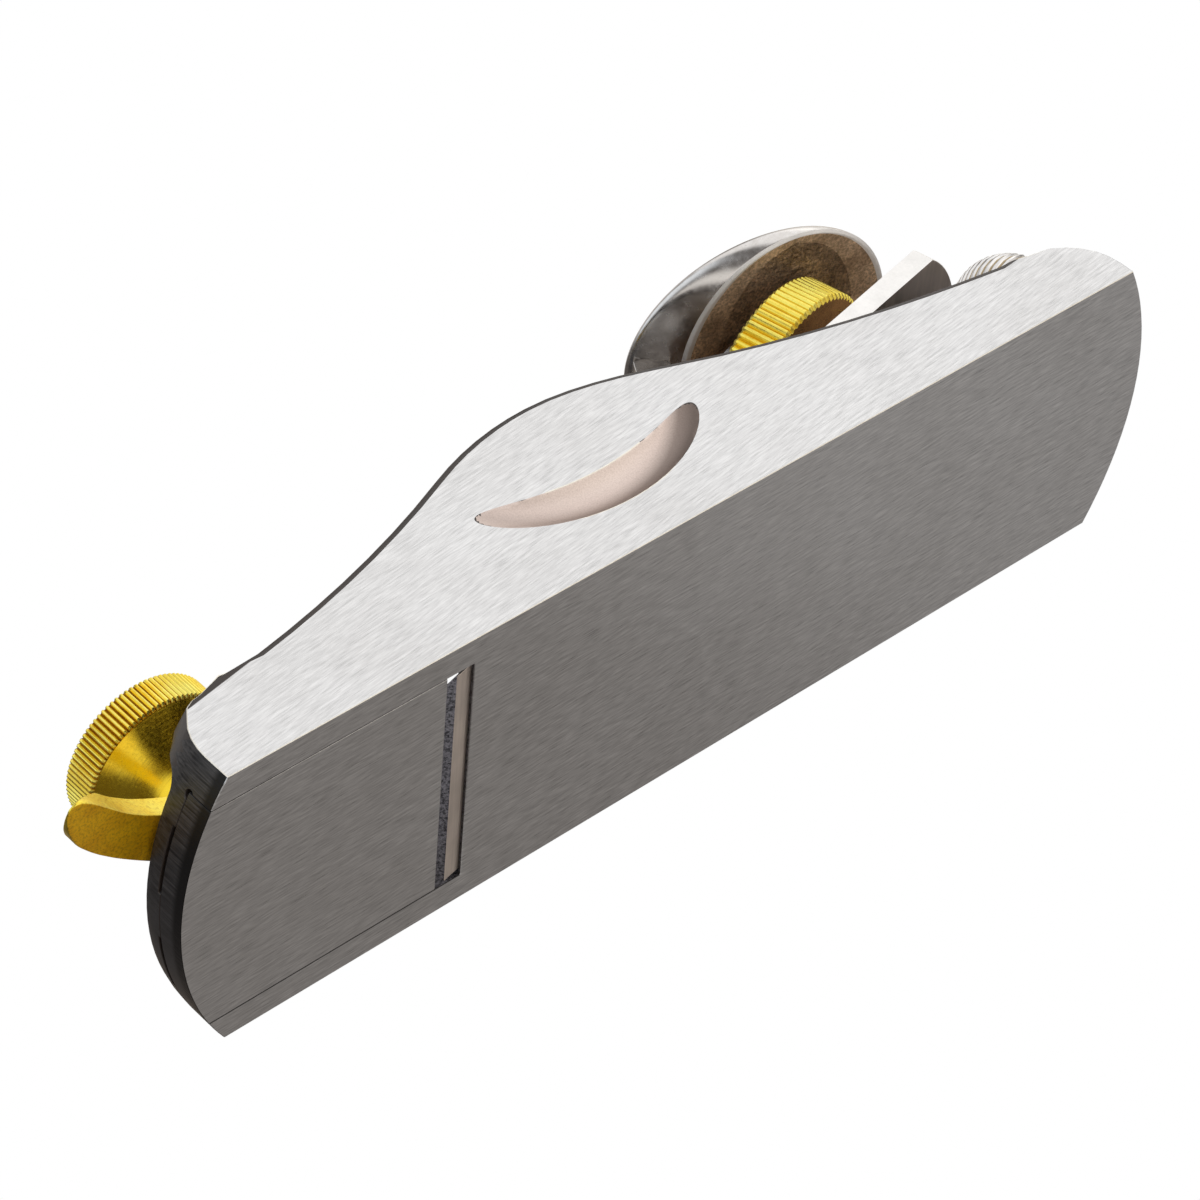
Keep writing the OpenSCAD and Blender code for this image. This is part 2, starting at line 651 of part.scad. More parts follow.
module lever_cap() color(steel) difference() {
    union() {
        difference() {
            palm_rest(0);
            // Hollow under the palm rest
            palm_rest(rim_t);
        }
        intersection() {
            on_bed() across(cap_w) cap_outline();
            // The plate keeps its full width past the screw and narrows into the neck
            hull() {
                translate([rim_x - lean_x - 12, 0, 0]) cylinder(r = neck_half_w, h = 70, $fn = 60);
                translate([edge_x, -cap_w / 2, 0]) cube([-edge_x + 4, cap_w, 70]);
            }
            // The neck runs up into the palm rest's wall and ends inside it
            union() {
                palm_rest(neck_sink);
                at_rim() translate([-big / 2, -big / 2, -big])
                    cube([big, big, big + shoulder_h - neck_sink]);
            }
        }
        // Boss that the spindle screws into
        intersection() {
            on_bed() translate([wheel_u, 0, wheel_top_w + 1.5]) cylinder(r = spindle_r + 2.6, h = 20);
            palm_rest(neck_sink);
        }
    }
    // Keyhole: narrow end at the screw, wide end towards the toe
    on_bed() translate([screw_u, 0, 0])
        long_slot(-keyhole_l, 0, 2 * (screw_r + 0.25), cap_top + 20);
    on_bed() translate([screw_u - keyhole_l, 0, 0])
        cylinder(r = screw_head_r + 0.35, h = cap_top + 20);
    // Flat ground round the keyhole, on which the screw's head slides
    on_bed() translate([screw_u, 0, cap_top])
        long_slot(-keyhole_l, 0, 2 * (screw_head_r + 1), 20);
    // Threaded hole of the spindle
    on_bed() translate([wheel_u, 0, wheel_top_w - 2])
        cylinder(r = spindle_r + run_clear, h = spindle_up + 2.8);
}

module cap_screw() color(steel) on_bed() translate([screw_u, 0, 0]) difference() {
    union() {
        translate([0, 0, -screw_hole_d + 0.3])
            cylinder(r = screw_r, h = screw_hole_d - 0.3 + cap_top + 1);
        translate([0, 0, cap_top + seat_gap]) rotate_extrude()
            polygon([[0, 0], [screw_head_r, 0], [screw_head_r, screw_head_h * 0.45],
                     [screw_head_r * 0.86, screw_head_h * 0.8],
                     [screw_head_r * 0.5, screw_head_h], [0, screw_head_h]]);
    }
    translate([-screw_head_r - 1, -0.7, cap_top + screw_head_h - 1.6])
        cube([2 * screw_head_r + 2, 1.4, 3]);
}

module spin_wheel() color(brass) on_bed() translate([wheel_u, 0, wheel_w]) difference() {
    intersection() {
        linear_extrude(wheel_t) polygon(star(wheel_ridges, wheel_r, ridge_depth));
        rotate_extrude($fn = 120) polygon([[0, 0], [wheel_r - 0.5, 0], [wheel_r + 0.1, 0.6],
            [wheel_r + 0.1, wheel_t - 0.6], [wheel_r - 0.5, wheel_t], [0, wheel_t]]);
    }
    translate([0, 0, -1]) cylinder(r = spindle_r + run_clear / 2, h = wheel_t + 2);
    // Shallow turned recesses in both faces
    for (z = [-1, wheel_t - 0.5]) translate([0, 0, z]) difference() {
        cylinder(r = wheel_r - 2.4, h = 1.5);
        translate([0, 0, -1]) cylinder(r = spindle_r + 3, h = 4);
    }
}

module spindle() color(steel) on_bed() translate([wheel_u, 0, 0]) union() {
    translate([0, 0, pad_floor_w + seat_gap])
        cylinder(r = spindle_r, h = wheel_top_w + spindle_up - pad_floor_w - 0.4);
    translate([0, 0, wheel_top_w + spindle_up - 0.4])
        cylinder(r1 = spindle_r, r2 = spindle_r - 0.5, h = 0.5);
}

module thrust_pad() color(brass) on_bed() translate([wheel_u, 0, blade_top + seat_gap])
    difference() {
        rotate_extrude() polygon([[0, 0], [thrust_pad_r - 0.4, 0], [thrust_pad_r, 0.4],
            [thrust_pad_r, thrust_pad_t * 0.6], [thrust_pad_r - 1, thrust_pad_t], [0, thrust_pad_t]]);
        translate([0, 0, thrust_pad_t * 0.4])
            cylinder(r = spindle_r + run_clear, h = thrust_pad_t);
    }

// Puts a shape on the adjusting screw's axis, z along it towards the heel
module on_screw(u) {
    on_bed() translate([u, 0, -screw_axis_w]) rotate([0, 90, 0]) children();
}

module adjusting_screw() color(steel) difference() {
    screw_front = carriage_u - screw_lead_l;
    on_screw(screw_front) cylinder(r = rod_r, h = adj_u + adj_l / 2 - 1 - screw_front);
    // Groove of the retaining ring
    on_screw(ring_u - seat_gap) difference() {
        cylinder(r = rod_r + 1, h = ring_t + 2 * seat_gap);
        translate([0, 0, -1]) cylinder(r = rod_r - 0.5, h = ring_t + 3);
    }
}

// Ridged barrel along z: sections from one end to the other, joined side by side
module barrel(r, l, drop, n, depth) {
    steps = 6;
    m = 2 * n;
    pts = [for (k = [0 : steps]) let (s = 2 * k / steps - 1, q = r - drop * s * s)
        for (p = star(n, q, depth)) [p[0], p[1], l * k / steps]];
    sides = [for (k = [0 : steps - 1]) for (i = [0 : m - 1])
        for (f = [[k * m + i, (k + 1) * m + i, (k + 1) * m + (i + 1) % m],
                  [k * m + i, (k + 1) * m + (i + 1) % m, k * m + (i + 1) % m]]) f];
    polyhedron(points = pts, faces = concat(sides,
        [[for (i = [0 : m - 1]) i], [for (i = [0 : m - 1]) steps * m + m - 1 - i]]));
}

module adjuster_knob() color(steel) difference() {
    union() {
        on_screw(adj_neck_u) cylinder(r = adj_neck_r, h = adj_front - adj_neck_u + 1);
        on_screw(adj_front) barrel(adj_r, adj_l, adj_crown, adj_ridges, ridge_depth);
    }
    on_screw(adj_neck_u - 1) cylinder(r = rod_r + run_clear / 2, h = adj_l + 30);
    // Dished rear face
    on_screw(adj_front + adj_l - 0.7) cylinder(r = adj_r - adj_crown - 1.6, h = 2);
    // Cross hole of the set screw
    on_screw(adj_u) rotate([0, 90, 0]) cylinder(r = set_screw_r + run_clear / 2, h = adj_r + 1);
}

module knob_set_screw() color(iron) on_screw(adj_u) rotate([0, 90, 0])
    translate([0, 0, rod_r + seat_gap]) difference() {
        cylinder(r = set_screw_r, h = set_screw_l);
        translate([0, 0, set_screw_l - 1.1]) cylinder(r = 0.7, h = 2, $fn = 6);
    }

module retaining_ring() color(steel) on_screw(ring_u) difference() {
    cylinder(r = rod_r + 1.4, h = ring_t);
    translate([0, 0, -1]) cylinder(r = rod_r - 0.5 + run_clear / 2, h = ring_t + 2);
    translate([-rod_r - 3, -1, -1]) cube([rod_r + 2, 2, ring_t + 2]);
}

module adjuster_bush() color(brass) on_screw(lug_u) difference() {
    cylinder(r = bush_r, h = lug_l);
    translate([0, 0, -1]) cylinder(r = rod_r + run_clear, h = lug_l + 2);
}

module thrust_washer() color(brass) on_screw(lug_rear + seat_gap) difference() {
    cylinder(r = adj_neck_r + 0.6, h = adj_washer_t);
    translate([0, 0, -1]) cylinder(r = rod_r + run_clear, h = 3);
}

module adjuster_carriage() color(brass) difference() {
    on_bed() translate([carriage_u, -carriage_w / 2, -screw_axis_w - carriage_drop])
        cube([carriage_l, carriage_w, screw_axis_w + carriage_drop - 4 * seat_gap]);
    on_screw(carriage_u - 1) cylinder(r = rod_r + run_clear, h = carriage_l + 2);
    on_bed() translate([dog_u, 0, dog_foot_w])
        cylinder(r = dog_r + run_clear / 2, h = 10, $fn = 32);
}

module carriage_dog() color(steel) on_bed() translate([dog_u, 0, dog_foot_w + seat_gap])
    cylinder(r = dog_r, h = blade_t * 0.7 - dog_foot_w, $fn = 32);

body();
toe_plate();
front_stud();
eccentric_lever();
knob_washer();
front_knob();
blade();
lever_cap();
cap_screw();
spin_wheel();
spindle();
thrust_pad();
adjusting_screw();
adjuster_knob();
knob_set_screw();
retaining_ring();
adjuster_bush();
thrust_washer();
adjuster_carriage();
carriage_dog();
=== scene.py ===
"""Looks of a low angle block plane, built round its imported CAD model. Metres, sole on Z = 0, toe at -X."""

import json
from math import atan2, cos, pi, radians, sin

import bmesh
import bpy
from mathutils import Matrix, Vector

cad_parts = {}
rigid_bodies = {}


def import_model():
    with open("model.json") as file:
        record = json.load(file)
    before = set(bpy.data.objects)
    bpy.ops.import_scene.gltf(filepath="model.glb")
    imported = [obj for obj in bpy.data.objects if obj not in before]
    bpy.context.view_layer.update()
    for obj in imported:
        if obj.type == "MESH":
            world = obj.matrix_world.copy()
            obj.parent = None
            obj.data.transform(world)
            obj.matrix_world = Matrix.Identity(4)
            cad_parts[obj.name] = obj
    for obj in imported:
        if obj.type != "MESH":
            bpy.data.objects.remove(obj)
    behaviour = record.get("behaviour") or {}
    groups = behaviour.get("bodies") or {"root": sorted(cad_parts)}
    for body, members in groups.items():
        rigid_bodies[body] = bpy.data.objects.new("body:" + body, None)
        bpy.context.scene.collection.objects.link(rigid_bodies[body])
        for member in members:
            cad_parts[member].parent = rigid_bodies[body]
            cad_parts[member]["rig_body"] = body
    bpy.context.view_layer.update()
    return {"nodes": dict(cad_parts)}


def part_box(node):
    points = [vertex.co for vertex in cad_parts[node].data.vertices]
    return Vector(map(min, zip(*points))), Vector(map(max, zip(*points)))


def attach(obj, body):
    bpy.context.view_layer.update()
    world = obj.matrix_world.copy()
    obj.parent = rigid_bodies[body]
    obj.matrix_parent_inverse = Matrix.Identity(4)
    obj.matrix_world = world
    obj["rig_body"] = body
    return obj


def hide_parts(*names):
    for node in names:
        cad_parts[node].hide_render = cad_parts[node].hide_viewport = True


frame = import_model()

MM = 0.001
sole_low, sole_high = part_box("body")
cheek_y = sole_high.y
channel_y = 18 * MM
bed_slope = radians(12)
edge_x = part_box("blade")[0].x
toe_x = sole_low.x
mouth_front_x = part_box("toe_plate")[1].x
stud_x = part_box("knob_washer")[0].lerp(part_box("knob_washer")[1], 0.5).x
near_zero = 0.03 * MM

# The finger recess is part of a round about a centre above it, under a top edge that climbs heelwards.
recess_centre = (-6.5 * MM, 0, 29.9 * MM)
recess_reach = 22.7 * MM
recess_margin = 4 * MM
recess_top = 19.5 * MM
recess_top_climb = 0.18
recess_floor_y = 20.6 * MM

# The cheeks and their rims. The rims run out at the toe, where their corners stand a little proud.
cheek_inner_y = 19 * MM
cheek_back_y = 20 * MM
rim_round = 1.15 * MM
heel_round = 0.7 * MM
arris_width = 0.09 * MM
toe_run_x = -61 * MM
toe_corner_x = -65.5 * MM
toe_corner_z = 10.9 * MM
toe_corner_lift = 0.5 * MM

# Up the bed from the cutting edge is u, square to the bed is w.
wheel_u = 87.63 * MM
wheel_low_w = 8.30 * MM
adjuster_u = 114.3 * MM
adjuster_drop = 4.8 * MM

# The palm rest's rim, and the mouth lever, whose low side is in millimetres as its outline is.
rim_middle = Vector((48.7, 0, 35.7)) * MM
rim_tilt = radians(9.9)
lever_turn = radians(38.3)
lever_low = 8.05


# Handling

def select_only(piece):
    bpy.ops.object.select_all(action="DESELECT")
    piece.select_set(True)
    bpy.context.view_layer.objects.active = piece


def open_mesh(piece, kind="FACE"):
    select_only(piece)
    bpy.ops.object.mode_set(mode="EDIT")
    bpy.ops.mesh.select_mode(type=kind)
    bpy.ops.mesh.select_all(action="DESELECT")


def close_mesh():
    bpy.ops.object.mode_set(mode="OBJECT")


def pick_faces(piece, wanted):
    mesh = bmesh.from_edit_mesh(piece.data)
    for face in mesh.faces:
        face.select_set(wanted(face))
    bmesh.update_edit_mesh(piece.data)


def pick_edges(piece, wanted):
    mesh = bmesh.from_edit_mesh(piece.data)
    for edge in mesh.edges:
        edge.select_set(wanted(edge))
    bmesh.update_edit_mesh(piece.data)


def pick_corners(piece, wanted):
    mesh = bmesh.from_edit_mesh(piece.data)
    for corner in mesh.verts:
        corner.select_set(wanted(corner.co))
    mesh.select_flush_mode()
    bmesh.update_edit_mesh(piece.data)


def along_bed(u, y, w):
    """The point u up the bed from the cutting edge, y across and w square to the bed."""
    return Vector((edge_x + u * cos(bed_slope) - w * sin(bed_slope), y,
                   u * sin(bed_slope) + w * cos(bed_slope)))


# Taking over a solid from the CAD

def stand_for(piece, node):
    source = frame["nodes"][node]
    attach(piece, source["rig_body"])
    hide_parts(node)


def worked_copy(node):
    """A copy of a CAD solid with its doubles merged and its flat faces joined, ready to be worked on."""
    source = frame["nodes"][node]
    piece = bpy.data.objects.new(node + "_finished", source.data.copy())
    bpy.context.scene.collection.objects.link(piece)
    select_only(piece)
    bpy.ops.mesh.customdata_custom_splitnormals_clear()
    bpy.ops.object.mode_set(mode="EDIT")
    bpy.ops.mesh.select_all(action="SELECT")
    bpy.ops.mesh.remove_doubles(threshold=0.002 * MM)
    bpy.ops.mesh.dissolve_limited(angle_limit=radians(0.4))
    close_mesh()
    stand_for(piece, node)
    piece.data.materials.clear()
    return piece


def ease_edges(piece, width, angle=30, segments=2, material=-1):
    """Takes the sharpness off every edge that turns more than an angle."""
    select_only(piece)
    eased = piece.modifiers.new("eased", "BEVEL")
    eased.width = width
    eased.segments = segments
    eased.limit_method = "ANGLE"
    eased.angle_limit = radians(angle)
    eased.use_clamp_overlap = False
    eased.material = material
    bpy.ops.object.modifier_apply(modifier=eased.name)


def polish_shading(piece, angle=35):
    """Smooth shading over soft edges, with flat faces kept flat by the weight of their area."""
    select_only(piece)
    bpy.ops.object.shade_smooth_by_angle(angle=radians(angle))
    weighted = piece.modifiers.new("weighted", "WEIGHTED_NORMAL")
    weighted.keep_sharp = True
    bpy.ops.object.modifier_apply(modifier=weighted.name)


def give_finish(piece, finish, wanted=None):
    """Gives a finish to the whole piece, or to the faces that are wanted."""
    piece.data.materials.append(finish)
    slot = len(piece.data.materials) - 1
    for face in piece.data.polygons:
        if wanted is None or wanted(face):
            face.material_index = slot
    return slot


# Nodes of the finishes

def put(tree, kind, sockets=None, **settings):
    made = tree.nodes.new(kind)
    for name, value in settings.items():
        setattr(made, name, value)
    for name, value in (sockets or {}).items():
        made.inputs[name].default_value = value
    return made


def new_finish(name, metal, roughness, colour=(0.5, 0.5, 0.5)):
    finish = bpy.data.materials.new(name)
    finish.use_nodes = True
    tree = finish.node_tree
    shader = tree.nodes["Principled BSDF"]
    shader.inputs["Metallic"].default_value = metal
    shader.inputs["Roughness"].default_value = roughness
    shader.inputs["Base Color"].default_value = (*colour, 1)
    return finish, tree, shader


def piece_coordinates(tree, stretch=(1, 1, 1), turn=(0, 0, 0), centre=(0, 0, 0)):
    """The piece's own coordinates, centred, turned and then stretched."""
    coordinates = put(tree, "ShaderNodeTexCoord")
    centred = put(tree, "ShaderNodeVectorMath", operation="SUBTRACT")
    centred.inputs[1].default_value = centre
    turned_to = put(tree, "ShaderNodeMapping", {"Rotation": turn})
    stretched = put(tree, "ShaderNodeMapping", {"Scale": stretch})
    tree.links.new(coordinates.outputs["Object"], centred.inputs[0])
    tree.links.new(centred.outputs[0], turned_to.inputs["Vector"])
    tree.links.new(turned_to.outputs[0], stretched.inputs["Vector"])
    return stretched.outputs[0]


def noise(tree, place, scale, detail=4.0, harshness=0.55):
    made = put(tree, "ShaderNodeTexNoise", {"Scale": scale, "Detail": detail, "Roughness": harshness})
    tree.links.new(place, made.inputs["Vector"])
    return made.outputs["Fac"]


def spread(tree, value, low, high, to_low=0.0, to_high=1.0):
    """Maps a range of a value onto another range."""
    made = put(tree, "ShaderNodeMapRange", {"From Min": low, "From Max": high,
                                           "To Min": to_low, "To Max": to_high})
    tree.links.new(value, made.inputs["Value"])
    return made.outputs["Result"]


def mix_values(tree, first, second, operation="MULTIPLY"):
    made = put(tree, "ShaderNodeMath", operation=operation)
    for socket, value in zip(made.inputs, (first, second)):
        if isinstance(value, (int, float)):
            socket.default_value = value
        else:
            tree.links.new(value, socket)
    return made.outputs[0]


def shades(tree, value, *stops):
    """A ramp of colours, each stop as (place, colour)."""
    made = put(tree, "ShaderNodeValToRGB")
    ramp = made.color_ramp
    while len(ramp.elements) < len(stops):
        ramp.elements.new(0.5)
    for element, (place, colour) in zip(ramp.elements, stops):
        element.position = place
        element.color = (*colour, 1)
    tree.links.new(value, made.inputs["Fac"])
    return made.outputs["Color"]


def blend_colours(tree, factor, first, second, blend="MIX"):
    made = put(tree, "ShaderNodeMix", data_type="RGBA", blend_type=blend)
    sockets = [s for s in made.inputs if s.enabled]
    for socket, value in zip(sockets, (factor, first, second)):
        if isinstance(value, (int, float)):
            socket.default_value = value
        elif isinstance(value, tuple):
            socket.default_value = (*value, 1)
        else:
            tree.links.new(value, socket)
    return next(s for s in made.outputs if s.enabled)


def relief(tree, shader, height, depth, below=None):
    """Height as bump, its depth in metres, laid over an earlier one."""
    made = put(tree, "ShaderNodeBump", {"Strength": 1.0, "Distance": depth})
    tree.links.new(height, made.inputs["Height"])
    if below is not None:
        tree.links.new(below, made.inputs["Normal"])
    tree.links.new(made.outputs[0], shader.inputs["Normal"])
    return made.outputs[0]


def wire(tree, value, shader, socket):
    tree.links.new(value, shader.inputs[socket])


# Finishes

def ground_lines(tree, across, climb):
    """Fine and broad grinding lines along X. They climb by an angle and are narrow across an axis."""
    fine = (400, 5200, 5200)
    broad = (240, 2800, 2800)
    turn = (0, climb, 0) if across == "Z" else (0, 0, climb)
    return mix_values(tree, noise(tree, piece_coordinates(tree, fine, turn), 1.0, 3, 0.6),
                      noise(tree, piece_coordinates(tree, broad, turn), 1.0, 4, 0.6), "ADD")


def rim_shade(tree):
    """The strip of unground casting above the ground face, where a cheek runs out at the toe."""
    place = put(tree, "ShaderNodeSeparateXYZ")
    tree.links.new(piece_coordinates(tree), place.inputs[0])
    x, z = place.outputs["X"], place.outputs["Z"]
    run_out = mix_values(tree, mix_values(tree, x, 60 * MM, "ADD"), 0.0, "MAXIMUM")
    slope = mix_values(tree, mix_values(tree, x, 0.174), mix_values(tree, run_out, 0.3), "ADD")
    return spread(tree, mix_values(tree, z, slope, "SUBTRACT"), 23.65 * MM, 23.75 * MM)


def ground_iron(name, across, climb, dark, light, roughness):
    """Surface-ground cast iron: fine lines, a few deeper scratches and faint clouds."""
    finish, tree, shader = new_finish(name, 1.0, roughness)
    lines = ground_lines(tree, across, climb)
    cloud = noise(tree, piece_coordinates(tree), 55.0, 3)
    tone = shades(tree, spread(tree, lines, 0.72, 1.28), (0.0, (dark,) * 3), (1.0, (light,) * 3))
    patchy = shades(tree, cloud, (0.3, (0.93, 0.925, 0.92)), (0.7, (1.0, 1.0, 1.0)))
    ground = blend_colours(tree, 1.0, tone, patchy, "MULTIPLY")
    if across == "Z":
        unground = rim_shade(tree)
        ground = blend_colours(tree, unground, ground, (0.035, 0.025, 0.02))
        wire(tree, spread(tree, unground, 0, 1, 1.0, 0.0), shader, "Metallic")
    wire(tree, ground, shader, "Base Color")
    wire(tree, spread(tree, lines, 0.6, 1.4, roughness - 0.07, roughness + 0.09), shader, "Roughness")
    relief(tree, shader, lines, 0.0035 * MM)
    return finish


def arris():
    """The thin line where two ground faces have been eased by hand, coloured light cream as a painted
    highlight.
    """
    finish, tree, shader = new_finish("eased_arris_painted_highlight", 1.0, 0.5)
    nicks = noise(tree, piece_coordinates(tree), 1500.0, 4)
    # Painted highlight: a light cream, brighter than the ground iron beside it.
    tone = shades(tree, nicks, (0.3, (0.86, 0.80, 0.70)), (0.6, (1.0, 0.97, 0.88)))
    wire(tree, tone, shader, "Base Color")
    wire(tree, spread(tree, nicks, 0.3, 0.7, 0.42, 0.6), shader, "Roughness")
    relief(tree, shader, nicks, 0.004 * MM)
    return finish


def milled_recess_painted_shade():
    """The finger recess: frosted grain, with painted shade light along its top edge and darker towards the
    lower one.
    """
    finish, tree, shader = new_finish("frosted_recess_painted_shade", 1.0, 0.5)
    grain = noise(tree, piece_coordinates(tree), 5200.0, 3, 0.65)
    flat = piece_coordinates(tree, (1, 0, 1), centre=recess_centre)
    reach = put(tree, "ShaderNodeVectorMath", operation="LENGTH")
    tree.links.new(flat, reach.inputs[0])
    low = spread(tree, reach.outputs["Value"], recess_reach - 5.5 * MM, recess_reach - 0.3 * MM)
    along = put(tree, "ShaderNodeSeparateXYZ")
    tree.links.new(flat, along.inputs[0])
    heelwards_painted_shade = spread(tree, along.outputs["X"], -20 * MM, 16 * MM, 0.35, 1.0)
    # Painted shade: darker towards the recess's lower edge and towards its heel end.
    shade = shades(tree, mix_values(tree, low, heelwards_painted_shade),
                   (0.0, (0.99, 0.87, 0.80)), (0.3, (0.80, 0.68, 0.62)),
                   (0.62, (0.34, 0.28, 0.25)), (1.0, (0.20, 0.16, 0.14)))
    speckled = shades(tree, grain, (0.3, (0.78, 0.76, 0.75)), (0.65, (1.0, 1.0, 1.0)))
    wire(tree, blend_colours(tree, 1.0, shade, speckled, "MULTIPLY"), shader, "Base Color")
    wire(tree, spread(tree, grain, 0.3, 0.7, 0.40, 0.55), shader, "Roughness")
    relief(tree, shader, grain, 0.012 * MM)
    return finish


def painted_casting():
    """Dark baked paint over the rims and wherever the casting is neither ground nor left rough."""
    finish, tree, shader = new_finish("painted_casting", 0.0, 0.36)
    lumps = noise(tree, piece_coordinates(tree), 900.0, 5, 0.6)
    cloud = noise(tree, piece_coordinates(tree), 120.0, 4)
    tone = shades(tree, cloud, (0.3, (0.020, 0.014, 0.011)), (0.7, (0.052, 0.038, 0.031)))
    wire(tree, tone, shader, "Base Color")
    wire(tree, spread(tree, cloud, 0.3, 0.7, 0.30, 0.50), shader, "Roughness")
    relief(tree, shader, lumps, 0.05 * MM)
    return finish


def filed_toe_wall():
    """The toe's end wall: blackened, with file lines that run up the wall, blacker next to the sole."""
    finish, tree, shader = new_finish("blackened_wall", 0.35, 0.38)
    lines = noise(tree, piece_coordinates(tree, (3800, 3800, 160)), 1.0, 4, 0.65)
    height = put(tree, "ShaderNodeSeparateXYZ")
    tree.links.new(piece_coordinates(tree), height.inputs[0])
    low = spread(tree, height.outputs["Z"], 1.2 * MM, 2.0 * MM)
    tone = shades(tree, lines, (0.35, (0.013, 0.012, 0.013)), (0.65, (0.085, 0.080, 0.080)))
    wire(tree, blend_colours(tree, low, (0.004, 0.0035, 0.0035), tone), shader, "Base Color")
    wire(tree, spread(tree, lines, 0.3, 0.7, 0.32, 0.52), shader, "Roughness")
    relief(tree, shader, lines, 0.02 * MM)
    return finish


def plain_black():
    """Blackened sides of the toe plate and the shade in the seams beside it."""
    finish, tree, shader = new_finish("blackened_plate", 0.2, 0.45)
    grain = noise(tree, piece_coordinates(tree), 700.0, 5)
    tone = shades(tree, grain, (0.3, (0.006, 0.006, 0.006)), (0.7, (0.022, 0.020, 0.019)))
    wire(tree, tone, shader, "Base Color")
    wire(tree, spread(tree, grain, 0.3, 0.7, 0.36, 0.6), shader, "Roughness")
    relief(tree, shader, grain, 0.01 * MM)
    return finish


def rough_casting():
    """Bare rough casting inside the throat and on the inner walls, with glinting grains."""
    finish, tree, shader = new_finish("rough_casting", 0.8, 0.5)
    grains = noise(tree, piece_coordinates(tree), 2400.0, 4, 0.75)
    lumps = noise(tree, piece_coordinates(tree), 1100.0, 3)
    tone = shades(tree, grains, (0.4, (0.010, 0.009, 0.012)), (0.62, (0.20, 0.19, 0.21)))
    wire(tree, tone, shader, "Base Color")
    wire(tree, spread(tree, grains, 0.3, 0.7, 0.3, 0.6), shader, "Roughness")
    relief(tree, shader, mix_values(tree, grains, lumps, "ADD"), 0.10 * MM)
    return finish


def machined_bed():
    """The machined bed, deck and toe plate top, with cutter marks across."""
    finish, tree, shader = new_finish("machined_bed", 1.0, 0.34)
    marks = noise(tree, piece_coordinates(tree, (3600, 90, 3600)), 1.0, 4)
    tone = shades(tree, marks, (0.35, (0.36, 0.35, 0.34)), (0.65, (0.58, 0.57, 0.56)))
    wire(tree, tone, shader, "Base Color")
    wire(tree, spread(tree, marks, 0.3, 0.7, 0.28, 0.45), shader, "Roughness")
    relief(tree, shader, marks, 0.006 * MM)
    return finish


def brass(name="turned_brass", dark=(0.97, 0.68, 0.05), light=(1.0, 0.86, 0.18), roughness=0.27, rings=None,
          fleck=(0.88, 0.84, 0.74), metal=1.0):
    """Lacquered brass. Rings, where it has them, are the stretch of its turning marks."""
    finish, tree, shader = new_finish(name, metal, roughness)
    cloud = noise(tree, piece_coordinates(tree), 260.0, 5)
    specks = noise(tree, piece_coordinates(tree), 2600.0, 3, 0.7)
    tone = shades(tree, cloud, (0.25, dark), (0.6, light))
    speckled = shades(tree, specks, (0.35, fleck), (0.55, (1.0, 1.0, 1.0)))
    wire(tree, blend_colours(tree, 1.0, tone, speckled, "MULTIPLY"), shader, "Base Color")
    wire(tree, spread(tree, specks, 0.3, 0.7, roughness - 0.06, roughness + 0.1), shader, "Roughness")
    below = relief(tree, shader, specks, 0.005 * MM)
    if rings:
        relief(tree, shader, noise(tree, piece_coordinates(tree, *rings), 1.0, 3), 0.012 * MM, below)
    return finish


def steel(name="steel", tone=0.6, roughness=0.28, metal=1.0, marks=None, fleck=0.86,
          warmth=(1, 0.99, 0.98)):
    """Bright steel. Marks, where it has them, are the stretch of its grinding lines."""
    finish, tree, shader = new_finish(name, metal, roughness)
    cloud = noise(tree, piece_coordinates(tree), 300.0, 5)
    if marks:
        specks = noise(tree, piece_coordinates(tree, *marks), 1.0, 4)
    else:
        specks = noise(tree, piece_coordinates(tree), 3000.0, 3, 0.7)
    light = [tone * share for share in warmth]
    shade = shades(tree, cloud, (0.3, [part * 0.88 for part in light]), (0.7, light))
    speckled = shades(tree, specks, (0.35, (fleck, fleck, fleck)), (0.65, (1.0, 1.0, 1.0)))
    wire(tree, blend_colours(tree, 1.0, shade, speckled, "MULTIPLY"), shader, "Base Color")
    wire(tree, spread(tree, specks, 0.3, 0.7, roughness - 0.06, roughness + 0.1), shader, "Roughness")
    relief(tree, shader, specks, 0.004 * MM)
    return finish


def satin_chrome():
    """Satin plating over the polished casting of the palm rest, with a few fine specks."""
    finish, tree, shader = new_finish("satin_chrome", 1.0, 0.22)
    haze = noise(tree, piece_coordinates(tree), 700.0, 5, 0.6)
    specks = noise(tree, piece_coordinates(tree), 4200.0, 2, 0.7)
    tone = shades(tree, haze, (0.3, (0.66, 0.63, 0.60)), (0.7, (0.80, 0.78, 0.76)))
    speckled = shades(tree, specks, (0.25, (0.78, 0.77, 0.76)), (0.4, (1.0, 1.0, 1.0)))
    wire(tree, blend_colours(tree, 1.0, tone, speckled, "MULTIPLY"), shader, "Base Color")
    wire(tree, spread(tree, haze, 0.3, 0.7, 0.18, 0.30), shader, "Roughness")
    relief(tree, shader, haze, 0.006 * MM)
    return finish


